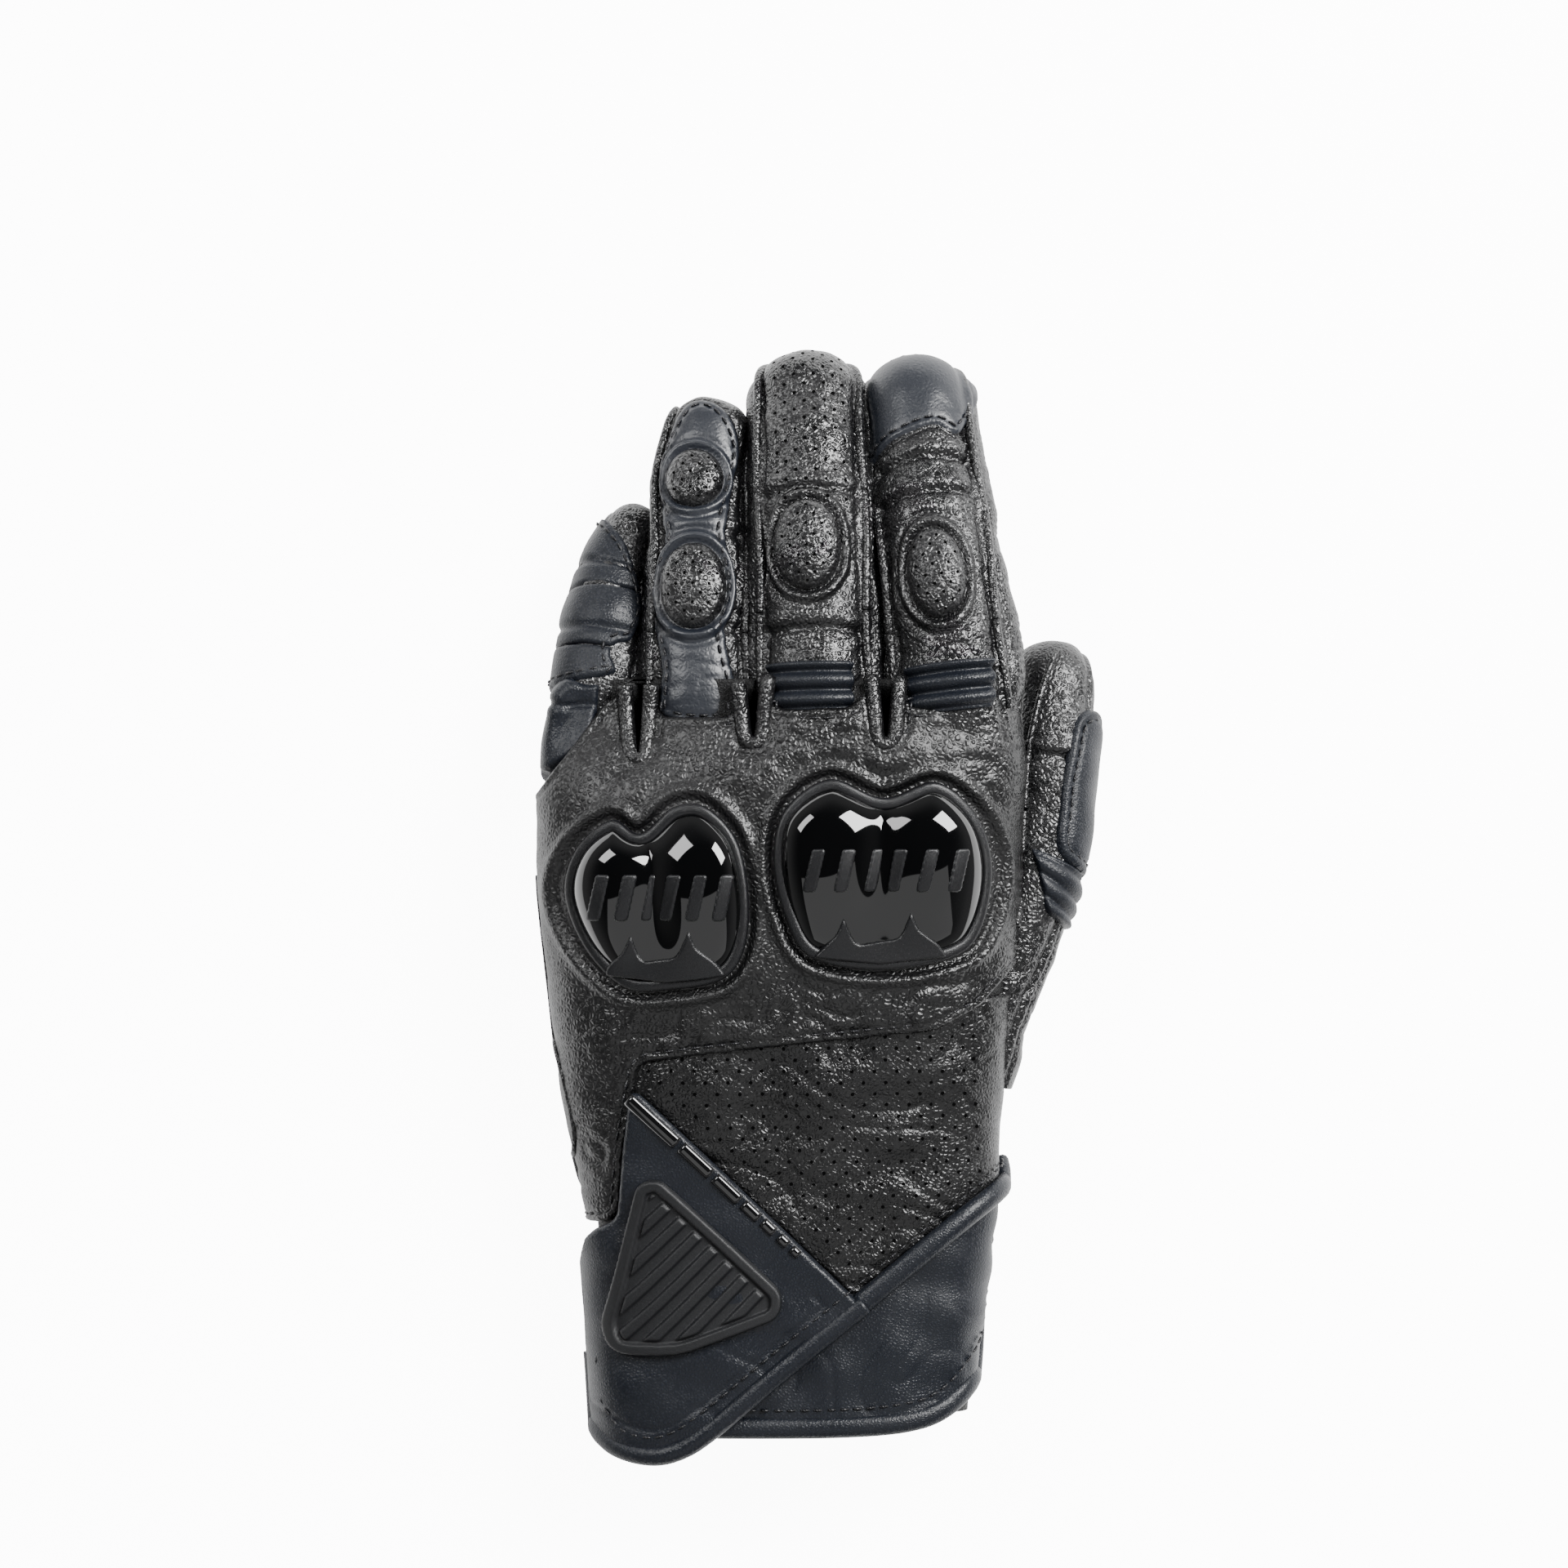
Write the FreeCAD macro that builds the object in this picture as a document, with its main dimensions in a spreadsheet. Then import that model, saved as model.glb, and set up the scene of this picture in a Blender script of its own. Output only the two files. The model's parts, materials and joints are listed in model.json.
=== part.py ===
import FreeCAD, Part
import math
import os
import Sketcher

# A short leather riding glove for the left hand, lying on its palm.
# +Y runs to the fingertips, +X to the thumb side and +Z out of the back of the hand.
# The origin is on the table, under the middle of the glove's footprint.

V = FreeCAD.Vector

# Driving sizes, in millimetres and degrees.
SIZES = {
    # hand, wrist and cuff: leather wall and layers on the back
    "wall": 2.4,
    "panelthick": 3.0,
    "undertabthick": 1.6,
    "flapgap": 0.3,
    "hookthick": 0.4,
    "flapthick": 2.0,
    "bindwide": 5.0,
    "bindproud": 0.6,
    "emblemthick": 1.8,
    "insertthick": 0.7,
    "flaplift": 100.0,
    "partingheight": 24.0,
    "clearance": 0.3,
    "heelthick": 1.5,
    # knuckle guards
    "shellproud": 6.5,
    "frameproud": 3.2,
    "framewide": 4.0,
    "outerguardwide": 40.0,
    "outerguardlong": 40.0,
    "outerguardx": -35.3,
    "outerguardy": 3.5,
    "innerguardwide": 47.0,
    "innerguardlong": 42.0,
    "innerguardx": 14.2,
    "innerguardy": 8.5,
    # fingers
    "fingerwall": 1.6,
    "tablegap": 0.3,
    "rootline": 49.5,
    "rootbend": 54.0,
    "midbend": 60.0,
    "tipbend": 33.0,
    "padproud": 2.4,
    "guardthick": 1.4,
    # thumb
    "thumbrootx": 51.7,
    "thumbrooty": 7.0,
    "thumbroot": 20.0,
    "thumbbend": 35.0,
    "thumbtipbend": 45.0,
    "thumbbaselong": 27.0,
    "thumbtiplong": 26.6,
    "thumbdip": 6.0,
    "thumbtipdip": 14.0,
    "thumblean": -1.5,
    "thumbrootdia": 17.4,
    "thumbmiddia": 17.8,
    "thumbenddia": 15.6,
}

# Hand sections from the cuff to the finger roots: place along the hand, left and right
# edges, lowest and highest points, and corner radius.
SECTION_PARTS = ("y", "left", "right", "low", "high", "corner")
SECTIONS = {
    "lobe": (-126.0, -46.0, 35.0, 3.0, 36.2, 15.0),
    "cuff": (-112.0, -47.0, 36.0, 3.0, 36.5, 15.0),
    "wrist": (-62.0, -52.5, 41.0, 4.0, 37.5, 15.5),
    "heel": (-36.0, -56.0, 41.0, 1.5, 40.5, 17.0),
    "palm": (-18.0, -58.5, 42.0, 1.5, 44.5, 18.0),
    "knuckle": (30.0, -60.5, 42.2, 9.0, 45.0, 16.0),
    "front": (49.0, -58.5, 42.6, 16.5, 43.5, 12.5),
}

# Fingers: root place across the hand, lean outward from straight ahead, the three
# lengths, the diameter at the root, at each joint and at the tip, and the three dips.
FINGER_PARTS = ("rootx", "lean", "baselong", "midlong", "tiplong", "rootdia", "middia",
                "tipdia", "enddia", "basedip", "middip", "tipdip")
FINGERS = {
    "little": (-48.5, -7.5, 14.6, 11.3, 17.8, 19.0, 17.5, 15.0, 13.5, 14.0, 26.0, 40.0),
    "ring": (-26.2, -0.5, 22.5, 24.6, 19.8, 21.4, 21.0, 19.0, 17.5, 8.0, 20.0, 35.0),
    "middle": (-0.4, 1.4, 31.5, 20.8, 24.8, 24.0, 23.5, 22.5, 21.0, 8.0, 20.0, 34.0),
    "index": (29.6, 6.6, 25.2, 21.8, 29.0, 24.0, 23.0, 22.0, 20.5, 8.0, 18.0, 31.0),
}

doc = FreeCAD.newDocument("riding_glove")
sheet = doc.addObject("Spreadsheet::Sheet", "Sizes")
for section, values in SECTIONS.items():
    for part_name, value in zip(SECTION_PARTS, values):
        SIZES[section + part_name] = value
for finger, values in FINGERS.items():
    for part_name, value in zip(FINGER_PARTS, values):
        SIZES[finger + part_name] = value
for row, (alias, value) in enumerate(SIZES.items(), start=1):
    sheet.set(f"A{row}", alias)
    sheet.set(f"B{row}", str(value))
    sheet.setAlias(f"B{row}", alias)
doc.recompute()

PARTS = {}
JOINTS = {}


def size(alias):
    return float(sheet.get(alias))


def value_of(expression):
    """Number that an expression of sheet cells gives now."""
    return float(sheet.evalExpression(expression.replace("Sizes.", "")))


def origin_plane(body, role):
    return [f for f in body.Origin.OriginFeatures if f.Role == role][0]


def outline_sketch(body, name, role, corners, offset="0"):
    """Closed sketch on an origin plane; every corner is an expression pair."""
    sketch = body.newObject("Sketcher::SketchObject", name)
    sketch.AttachmentSupport = (origin_plane(body, role), [""])
    sketch.MapMode = "FlatFace"
    if offset != "0":
        sketch.setExpression("AttachmentOffset.Base.z", offset)
    places = [(value_of(x), value_of(y)) for x, y in corners]
    count = len(places)
    for index in range(count):
        start = V(*places[index], 0)
        end = V(*places[(index + 1) % count], 0)
        sketch.addGeometry(Part.LineSegment(start, end))
    for index in range(count):
        sketch.addConstraint(Sketcher.Constraint("Coincident", index, 2, (index + 1) % count, 1))
        for kind, axis in (("DistanceX", 0), ("DistanceY", 1)):
            link = Sketcher.Constraint(kind, -1, 1, index, 1, places[index][axis])
            number = sketch.addConstraint(link)
            sketch.setExpression(f"Constraints[{number}]", corners[index][axis])
    return sketch


def section_sketch(body, section, grow):
    """Rounded rectangle across the hand at one section, larger all round by grow."""
    sketch = body.newObject("Sketcher::SketchObject", body.Name + "_" + section)
    sketch.AttachmentSupport = (origin_plane(body, "XZ_Plane"), [""])
    sketch.MapMode = "FlatFace"
    sketch.setExpression("AttachmentOffset.Base.z", f"-Sizes.{section}y")
    left = f"Sizes.{section}left - ({grow})"
    right = f"Sizes.{section}right + {grow}"
    low = f"Sizes.{section}low - ({grow})"
    high = f"Sizes.{section}high + {grow}"
    corner = f"Sizes.{section}corner + {grow}"
    inset = {"x0": left, "x1": f"{left} + {corner}", "x2": f"{right} - ({corner})", "x3": right,
             "z0": low, "z1": f"{low} + {corner}", "z2": f"{high} - ({corner})", "z3": high}
    ends = [("x1", "z0"), ("x2", "z0"), ("x3", "z1"), ("x3", "z2"),
            ("x2", "z3"), ("x1", "z3"), ("x0", "z2"), ("x0", "z1")]
    centres = [("x2", "z1"), ("x2", "z2"), ("x1", "z2"), ("x1", "z1")]
    place = {key: value_of(expression) for key, expression in inset.items()}
    radius = value_of(corner)
    for side in range(4):
        start, end = ends[2 * side], ends[2 * side + 1]
        sketch.addGeometry(Part.LineSegment(V(place[start[0]], place[start[1]], 0),
                                            V(place[end[0]], place[end[1]], 0)))
        centre = V(place[centres[side][0]], place[centres[side][1]], 0)
        turn = math.radians(-90 + 90 * side)
        circle = Part.Circle(centre, V(0, 0, 1), radius)
        sketch.addGeometry(Part.ArcOfCircle(circle, turn, turn + math.pi / 2))
    for side in range(4):
        line, arc, following = 2 * side, 2 * side + 1, (2 * side + 2) % 8
        sketch.addConstraint(Sketcher.Constraint("Coincident", line, 2, arc, 1))
        sketch.addConstraint(Sketcher.Constraint("Coincident", arc, 2, following, 1))
        number = sketch.addConstraint(Sketcher.Constraint("Radius", arc, radius))
        sketch.setExpression(f"Constraints[{number}]", corner)
        for point, end in ((1, ends[line]), (2, ends[line + 1])):
            for kind, key in (("DistanceX", end[0]), ("DistanceY", end[1])):
                number = sketch.addConstraint(Sketcher.Constraint(kind, -1, 1, line, point,
                                                                  place[key]))
                sketch.setExpression(f"Constraints[{number}]", inset[key])
    return sketch


FORMS = {}


def hand_form(grow):
    """Solid form of the hand through its sections, larger all round by grow."""
    if grow not in FORMS:
        body = doc.addObject("PartDesign::Body", f"form{len(FORMS)}")
        sketches = [section_sketch(body, section, grow) for section in SECTIONS]
        loft = body.newObject("PartDesign::AdditiveLoft", body.Name + "_loft")
        loft.Profile = sketches[0]
        loft.Sections = sketches[1:]
        loft.Ruled = True
        doc.recompute()
        FORMS[grow] = body
    return FORMS[grow]


def prism(name, corners, low="Sizes.partingheight", high="90", role="XY_Plane", radius=None):
    """Upright block between two heights over an outline of expression pairs."""
    body = doc.addObject("PartDesign::Body", name)
    sketch = outline_sketch(body, name + "_outline", role, corners, low)
    pad = body.newObject("PartDesign::Pad", name + "_pad")
    pad.Profile = sketch
    pad.setExpression("Length", f"({high}) - ({low})")
    doc.recompute()
    if radius:
        rounded = body.newObject("PartDesign::Fillet", name + "_rounded")
        rounded.Base = (pad, upright_edges(pad.Shape))
        rounded.setExpression("Radius", radius)
        doc.recompute()
    return body


def upright_edges(shape):
    names = []
    for index, edge in enumerate(shape.Edges, start=1):
        start, end = edge.Vertexes[0].Point, edge.Vertexes[-1].Point
        if abs(end.z - start.z) > 1 and math.hypot(end.x - start.x, end.y - start.y) < 0.01:
            names.append(f"Edge{index}")
    return names


def boolean(kind, name, first, second):
    result = doc.addObject(f"Part::{kind}", name)
    result.Base = first
    result.Tool = second
    doc.recompute()
    return result


def layer(name, lower, upper, outline):
    """The shell between two grown hand forms, kept only inside an upright outline."""
    block = boolean("Common", name + "_block", hand_form(upper), outline)
    return boolean("Cut", name, block, hand_form(lower))


def keep(label, item, body, placement=None):
    """Record a finished sub-part under its label and moving body."""
    item.Label = label
    if placement is not None:
        item.Placement = placement
    PARTS[label] = (item, body)


def box_corners(left, right, near, far):
    return [(left, near), (right, near), (right, far), (left, far)]


# ---------------------------------------------------------------- thumb and hand shells

def tube_form(name, stations, grow):
    """Round tube through stations, each an expression for x, y, z and radius."""
    body = doc.addObject("PartDesign::Body", name)
    sketches = []
    for index, (x, y, z, radius) in enumerate(stations):
        sketch = body.newObject("Sketcher::SketchObject", f"{name}_ring{index}")
        sketch.AttachmentSupport = (origin_plane(body, "XZ_Plane"), [""])
        sketch.MapMode = "FlatFace"
        sketch.setExpression("AttachmentOffset.Base.z", f"-({y})")
        grown = f"{radius} + {grow}"
        centre = (value_of(x), value_of(z))
        sketch.addGeometry(Part.Circle(V(*centre, 0), V(0, 0, 1), value_of(grown)))
        for kind, axis, expression in (("DistanceX", 0, x), ("DistanceY", 1, z)):
            link = Sketcher.Constraint(kind, -1, 1, 0, 3, centre[axis])
            sketch.setExpression(f"Constraints[{sketch.addConstraint(link)}]", expression)
        link = Sketcher.Constraint("Radius", 0, value_of(grown))
        sketch.setExpression(f"Constraints[{sketch.addConstraint(link)}]", grown)
        sketches.append(sketch)
    loft = body.newObject("PartDesign::AdditiveLoft", name + "_loft")
    loft.Profile = sketches[0]
    loft.Sections = sketches[1:]
    loft.Ruled = True
    doc.recompute()
    return body


GUSSET = [("Sizes.palmright - 9", "Sizes.palmy - 14", "17.5", "9.5"),
          ("Sizes.palmright + 2", "Sizes.palmy + 6", "18", "10"),
          ("Sizes.thumbrootx", "Sizes.thumbrooty - 0.5", "Sizes.thumbroot", "Sizes.thumbrootdia / 2")]


def hand_shells():
    """Palm, back and sleeve panels: one hollow hand cut at its seams."""
    hollow = boolean("Cut", "hand_hollow", hand_form("0"), hand_form("-Sizes.wall"))
    bore = tube_form("gusset_bore", GUSSET, "-1.6")
    mitre = prism("front_mitre", [("Sizes.rootline - 0.5", "32"),
                                  ("Sizes.rootline - 0.5 - 32 * tan(36)", "0"),
                                  ("Sizes.rootline - 0.5 - 37 * tan(36)", "-5"),
                                  ("Sizes.rootline + 20", "-5"), ("Sizes.rootline + 20", "32")],
                  low="-100", high="100", role="YZ_Plane")
    seam = "Sizes.heely + 3"
    mouth = "Sizes.cuffy"
    sides = {"palm_panel": (box_corners("-90", "90", mouth, "90"), "-20", "Sizes.partingheight"),
             "back_panel": (box_corners("-90", "90", seam, "90"), "Sizes.partingheight", "90"),
             "cuff_sleeve": (box_corners("-90", "90", mouth, seam), "Sizes.partingheight", "90")}
    for label, (corners, low, high) in sides.items():
        block = prism(label + "_side", corners, low, high)
        panel = boolean("Common", label + "_whole", hollow, block)
        if label != "cuff_sleeve":
            panel = boolean("Cut", label + "_bored", panel, bore)
            panel = boolean("Cut", label + "_solid", panel, mitre)
        keep(label, panel, "hand")
    gusset = boolean("Cut", "gusset_hollow", tube_form("gusset_form", GUSSET, "0"),
                     tube_form("gusset_core", GUSSET, "-1.6"))
    keep("thumb_gusset", boolean("Cut", "thumb_gusset_solid", gusset, hand_form("0")), "hand")


# ---------------------------------------------------------------- back of the wrist

# The flap hinges along the seam between these two corners.
HINGE_TOP = ("Sizes.heelleft + 16", "Sizes.heely - 1.4")
HINGE_END = ("Sizes.wristright - 33.3", "Sizes.wristy - 22.2")
KNOB = ("Sizes.wristright + 1.5", "Sizes.wristy + 5.5")
SLANT = (0.739, 0.673)


def shifted(corner, along=0.0, across=0.0):
    """Corner moved along the slanted edge binding and square to it, towards the cuff end."""
    x = along * SLANT[0] + across * SLANT[1]
    y = along * SLANT[1] - across * SLANT[0]
    return (f"{corner[0]} + {x:.3f}", f"{corner[1]} + {y:.3f}")


def strip_shift(corner, along):
    """Outer corner of the binding strip beside an inner corner."""
    return (f"{corner[0]} + {along * SLANT[0]:.3f} + {SLANT[1]} * Sizes.bindwide",
            f"{corner[1]} + {along * SLANT[1]:.3f} - {SLANT[0]} * Sizes.bindwide")


LOBE = [("Sizes.cuffleft + 21.5", "Sizes.cuffy + 0.2"), ("Sizes.cuffleft + 10.5", "Sizes.cuffy - 5.5"),
        ("Sizes.cuffleft + 1.5", "Sizes.cuffy + 3")]
FLAP_SIDE = ("Sizes.cuffleft + 0.5", "Sizes.wristy - 7")
FLAP_IN = "Sizes.undertabthick + 2 * Sizes.hookthick + Sizes.flapgap"
FLAP_OUT = FLAP_IN + " + Sizes.flapthick"


def wrist_layers():
    """Perforated wrist panel, under tab, their bindings and the loop patch."""
    panel = [("Sizes.heelleft + 15", "Sizes.heely + 3"), ("Sizes.heelright - 6", "Sizes.palmy + 4"),
             ("Sizes.palmright + 1", "Sizes.palmy + 8"), KNOB,
             shifted(HINGE_END, along=0.8), shifted(HINGE_TOP, along=0.8)]
    leather = layer("wrist_panel_whole", "0", "Sizes.panelthick", prism("wrist_outline", panel))
    keep("wrist_panel", boolean("Cut", "wrist_panel_solid", leather, doc.getObject("gusset_form")),
         "hand")
    tab_right = ("Sizes.cuffright + 2.5", "Sizes.cuffy + 6")
    tab_low = ("Sizes.cuffright - 14", "Sizes.cuffy + 1.5")
    tab = [shifted(KNOB, across=1.0, along=-1.5), shifted(HINGE_END, across=1.0),
           shifted(HINGE_TOP, along=-3.0, across=2.0), ("Sizes.cuffleft + 6", "Sizes.wristy"),
           ("Sizes.cuffleft + 6", "Sizes.cuffy + 4"), ("Sizes.cuffleft + 24", "Sizes.cuffy + 0.5"),
           tab_low, tab_right]
    keep("under_tab", layer("under_tab_solid", "0", "Sizes.undertabthick",
                            prism("tab_outline", tab)), "hand")
    edge = [("Sizes.cuffleft + 30", "Sizes.cuffy"), ("Sizes.cuffright - 13", "Sizes.cuffy"),
            ("Sizes.cuffright + 4", "Sizes.cuffy + 5"), ("Sizes.wristright + 4", "Sizes.wristy - 4"),
            ("Sizes.wristright - 2", "Sizes.wristy - 6"), ("Sizes.cuffright - 2.5", "Sizes.cuffy + 9"),
            ("Sizes.cuffright - 15", "Sizes.cuffy + 5"), ("Sizes.cuffleft + 30", "Sizes.cuffy + 4.5")]
    keep("under_tab_binding", layer("under_tab_binding_solid", "Sizes.undertabthick",
                                    "Sizes.undertabthick + Sizes.bindproud + 0.3",
                                    prism("tab_edge", edge)), "hand")
    rim = [shifted(HINGE_END, along=3.2, across=0.3), shifted(KNOB, across=0.3),
           strip_shift(KNOB, 0), strip_shift(HINGE_END, 3.2)]
    keep("wrist_binding", layer("wrist_binding_solid", "Sizes.undertabthick + 0.1",
                                "Sizes.panelthick + Sizes.bindproud + 0.8",
                                prism("wrist_rim", rim)), "hand")
    patch = box_corners("Sizes.cuffleft + 12", "Sizes.cuffleft + 40", "Sizes.cuffy + 12",
                        "Sizes.cuffy + 34")
    keep("loop_patch", layer("loop_patch_solid", "Sizes.undertabthick",
                             "Sizes.undertabthick + Sizes.hookthick",
                             prism("loop_outline", patch)), "hand")


def cuff_flap():
    """Closing flap with its binding, grip pad, gloss inserts and hook patch."""
    flap = [shifted(HINGE_TOP), shifted(HINGE_END), *LOBE, FLAP_SIDE]
    keep("cuff_flap", layer("cuff_flap_solid", FLAP_IN, FLAP_OUT,
                            prism("flap_outline", flap)), "cuff_flap")
    width = "Sizes.bindwide"
    edge = [HINGE_END, LOBE[0], LOBE[1], LOBE[2],
            (f"{LOBE[2][0]} - 0.6 * {width}", LOBE[2][1]),
            (f"{LOBE[1][0]} - 0.3 * {width}", f"{LOBE[1][1]} - 0.95 * {width}"),
            strip_shift(LOBE[0], 0), strip_shift(HINGE_END, 0)]
    keep("flap_binding", layer("flap_binding_solid", FLAP_IN, FLAP_OUT + " + Sizes.bindproud",
                               prism("flap_edge", edge)), "cuff_flap")
    pad = [("Sizes.cuffleft + 10", "Sizes.cuffy + 20"), ("Sizes.cuffleft + 38", "Sizes.cuffy + 24"),
           ("Sizes.cuffleft + 18", "Sizes.cuffy + 52"), ("Sizes.cuffleft + 10", "Sizes.cuffy + 52")]
    pad_block = prism("emblem_outline", pad, radius="3")
    keep("wrist_pad", layer("wrist_pad_solid", FLAP_OUT, FLAP_OUT + " + Sizes.emblemthick",
                            pad_block), "cuff_flap")
    patch = box_corners("Sizes.cuffleft + 12", "Sizes.cuffleft + 40", "Sizes.cuffy + 12",
                        "Sizes.cuffy + 34")
    keep("hook_patch", layer("hook_patch_solid", f"{FLAP_IN} - Sizes.hookthick", FLAP_IN,
                             prism("hook_outline", patch)), "cuff_flap")
    band = [toward_flap(0.06, 0.8), toward_flap(0.9, 0.8), toward_flap(0.9, 3.4),
            toward_flap(0.1, 5.2)]
    keep("gloss_inserts", layer("gloss_inserts_solid", FLAP_OUT, FLAP_OUT + " + Sizes.insertthick",
                                prism("insert_outline", band)), "cuff_flap")


def toward_flap(share, inside):
    """Point a share of the way down the hinge seam and a little inside the flap."""
    x = f"{HINGE_TOP[0]} + {share} * ({HINGE_END[0]} - ({HINGE_TOP[0]})) - {0.7 * inside:.3f}"
    y = f"{HINGE_TOP[1]} + {share} * ({HINGE_END[1]} - ({HINGE_TOP[1]})) - {0.715 * inside:.3f}"
    return (x, y)


# ---------------------------------------------------------------- knuckle guards

# Outline of a double-domed guard, as shares of its half width and half length.
GUARD_OUTLINE = [(-1.0, 0.1), (-0.82, 0.75), (-0.45, 1.0), (-0.06, 0.8), (0.32, 0.95),
                 (0.8, 0.7), (1.0, 0.1), (0.78, -0.72), (0.35, -1.0), (-0.35, -1.0), (-0.8, -0.6)]


def guard_corners(side, rim):
    corners = []
    for across, along in GUARD_OUTLINE:
        corners.append((f"Sizes.{side}guardx + {across} * (Sizes.{side}guardwide / 2 - {rim})",
                        f"Sizes.{side}guardy + {along} * (Sizes.{side}guardlong / 2 - {rim})"))
    return corners


def knuckle_guard(side):
    """Hard shell over two knuckles, seated in a matte frame on the back of the hand."""
    outer = prism(f"{side}_frame_outline", guard_corners(side, "0"), radius="2")
    inner = prism(f"{side}_shell_outline", guard_corners(side, "Sizes.framewide"), radius="2")
    slab = layer(f"{side}_frame_slab", "0", "Sizes.frameproud", outer)
    keep(f"{side}_knuckle_frame", boolean("Cut", f"{side}_frame_ring", slab, inner), "hand")
    keep(f"{side}_knuckle_shell", layer(f"{side}_shell_solid", "0", "Sizes.shellproud", inner),
         "hand")


def palm_heel():
    """Palm heel patch, flat underneath where the glove rests, shaped to the palm above."""
    corners = box_corners("Sizes.palmleft + 20", "Sizes.palmright - 20", "Sizes.wristy + 4",
                          "Sizes.palmy + 20")
    block = prism("heel_outline", corners, "Sizes.palmlow - Sizes.heelthick", "8", radius="5")
    keep("palm_heel_patch", boolean("Cut", "palm_heel_solid", block, hand_form("0")), "hand")


def crotch_welt(name, x):
    """U-shaped rolled welt on the back, between two finger roots."""
    corners = [(f"{x} - 3.6", "Sizes.rootline - 1"), (f"{x} - 3.6", "Sizes.rootline - 12"),
               (f"{x} + 3.6", "Sizes.rootline - 12"), (f"{x} + 3.6", "Sizes.rootline - 1"),
               (f"{x} + 0.8", "Sizes.rootline - 1"), (f"{x} + 0.8", "Sizes.rootline - 9.5"),
               (f"{x} - 0.8", "Sizes.rootline - 9.5"), (f"{x} - 0.8", "Sizes.rootline - 1")]
    keep(name, layer(name + "_solid", "0", "2", prism(name + "_outline", corners)), "hand")


# ---------------------------------------------------------------- fingers and thumb

def half_tube(name, side, length, start, end, wall, mitre_near, mitre_far, closed):
    """Half of a tapered round tube about +Y, mitred at its joints if it is the palm half.

    side is +1 for the back half and -1 for the palm half. start and end are radii, and a
    closed tube ends in a dome.
    """
    body = doc.addObject("PartDesign::Body", name)
    gap = "Sizes.clearance"
    inner_start, inner_end = f"{start} - {wall}", f"{end} - {wall}"
    if closed:
        dome = f"{length} - 0.55 * {end}"
        outer = [(gap, start), (dome, end), (f"{length} - 0.18 * {end}", f"0.74 * {end}"),
                 (length, f"0.32 * {end}"), (length, "0")]
        inner = [(f"{length} - {wall}", "0"), (f"{length} - {wall} - 0.35 * {end}", f"0.7 * ({inner_end})"),
                 (f"{dome} - 0.5", inner_end), (gap, inner_start)]
    else:
        outer = [(gap, start), (f"{length} - {gap}", end)]
        inner = [(f"{length} - {gap}", inner_end), (gap, inner_start)]
    corners = [(along, f"{side} * ({away})") for along, away in outer + inner]
    sketch = outline_sketch(body, name + "_profile", "YZ_Plane", corners)
    turned = body.newObject("PartDesign::Revolution", name + "_turned")
    turned.Profile = sketch
    turned.ReferenceAxis = (sketch, ["H_Axis"])
    turned.Angle = 180
    turned.Midplane = True
    doc.recompute()
    if side < 0:
        deep = "1.3 * " + start
        near = [("-30", "1"), (gap, "1"), (gap, "0"), (f"{gap} + {deep} * tan({mitre_near})", f"-{deep}"),
                ("-30", f"-{deep}")]
        mitre_pocket(body, name + "_near", near)
        if not closed:
            far = [(f"{length} + 30", "1"), (f"{length} - {gap}", "1"), (f"{length} - {gap}", "0"),
                   (f"{length} - {gap} - {deep} * tan({mitre_far})", f"-{deep}"),
                   (f"{length} + 30", f"-{deep}")]
            mitre_pocket(body, name + "_far", far)
    return body


def mitre_pocket(body, name, corners):
    """Cut away what lies past a slanted joint face, right through the body."""
    before = body.Shape.Volume
    sketch = outline_sketch(body, name + "_profile", "YZ_Plane", corners)
    pocket = body.newObject("PartDesign::Pocket", name)
    pocket.Profile = sketch
    pocket.Type = "ThroughAll"
    pocket.Midplane = True
    doc.recompute()
    if not body.Shape.Volume < before:
        raise ValueError(f"{name} cuts nothing")


def turned_shell(name, profile, angle, roll=0.0):
    """Part of a ring about +Y, centred on the back and rolled to one side."""
    body = doc.addObject("PartDesign::Body", name)
    sketch = outline_sketch(body, name + "_profile", "YZ_Plane", profile)
    turned = body.newObject("PartDesign::Revolution", name + "_turned")
    turned.Profile = sketch
    turned.ReferenceAxis = (sketch, ["H_Axis"])
    turned.Angle = angle
    turned.Midplane = True
    doc.recompute()
    return body


def segment_places(root, lean, lengths, dips):
    """Placement of each finger segment: the joint it starts from, its lean and its dip."""
    places = []
    point = root
    for length, dip in zip(lengths, dips):
        turn = FreeCAD.Rotation(V(0, 0, 1), lean)
        turn = turn.multiply(FreeCAD.Rotation(V(1, 0, 0), -dip))
        places.append(FreeCAD.Placement(point, turn))
        point = point + turn.multVec(V(0, length, 0))
    return places


def add_joint(name, parent, child, placement, limit):
    """Hinge whose positive turn bends the child towards the palm."""
    axis = placement.Rotation.multVec(V(-1, 0, 0))
    JOINTS[name] = {"parent": parent, "child": child, "at": placement.Base, "axis": axis,
                    "range": limit}


def finger_root(finger):
    """Root height that leaves the fingertip just above the table."""
    dips = [math.radians(size(finger + part)) for part in ("basedip", "middip", "tipdip")]
    drop = size(finger + "baselong") * math.sin(dips[0])
    drop += size(finger + "midlong") * math.sin(dips[1])
    end = size(finger + "enddia") / 2
    straight = size(finger + "tiplong") - 0.55 * end
    shoulder = straight * math.sin(dips[2]) + end * math.cos(dips[2])
    curve = size(finger + "tiplong") - 0.18 * end
    nose = curve * math.sin(dips[2]) + 0.74 * end * math.cos(dips[2])
    return drop + max(shoulder, nose) + size("tablegap")


def half_pair(name, body_name, place, length, start, end, near, far, closed):
    for half, side in (("back", 1), ("palm", -1)):
        shell = half_tube(f"{name}_{half}", side, length, start, end, "Sizes.fingerwall",
                          near, far, closed)
        keep(f"{name}_{half}", shell, body_name, place)


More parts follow.
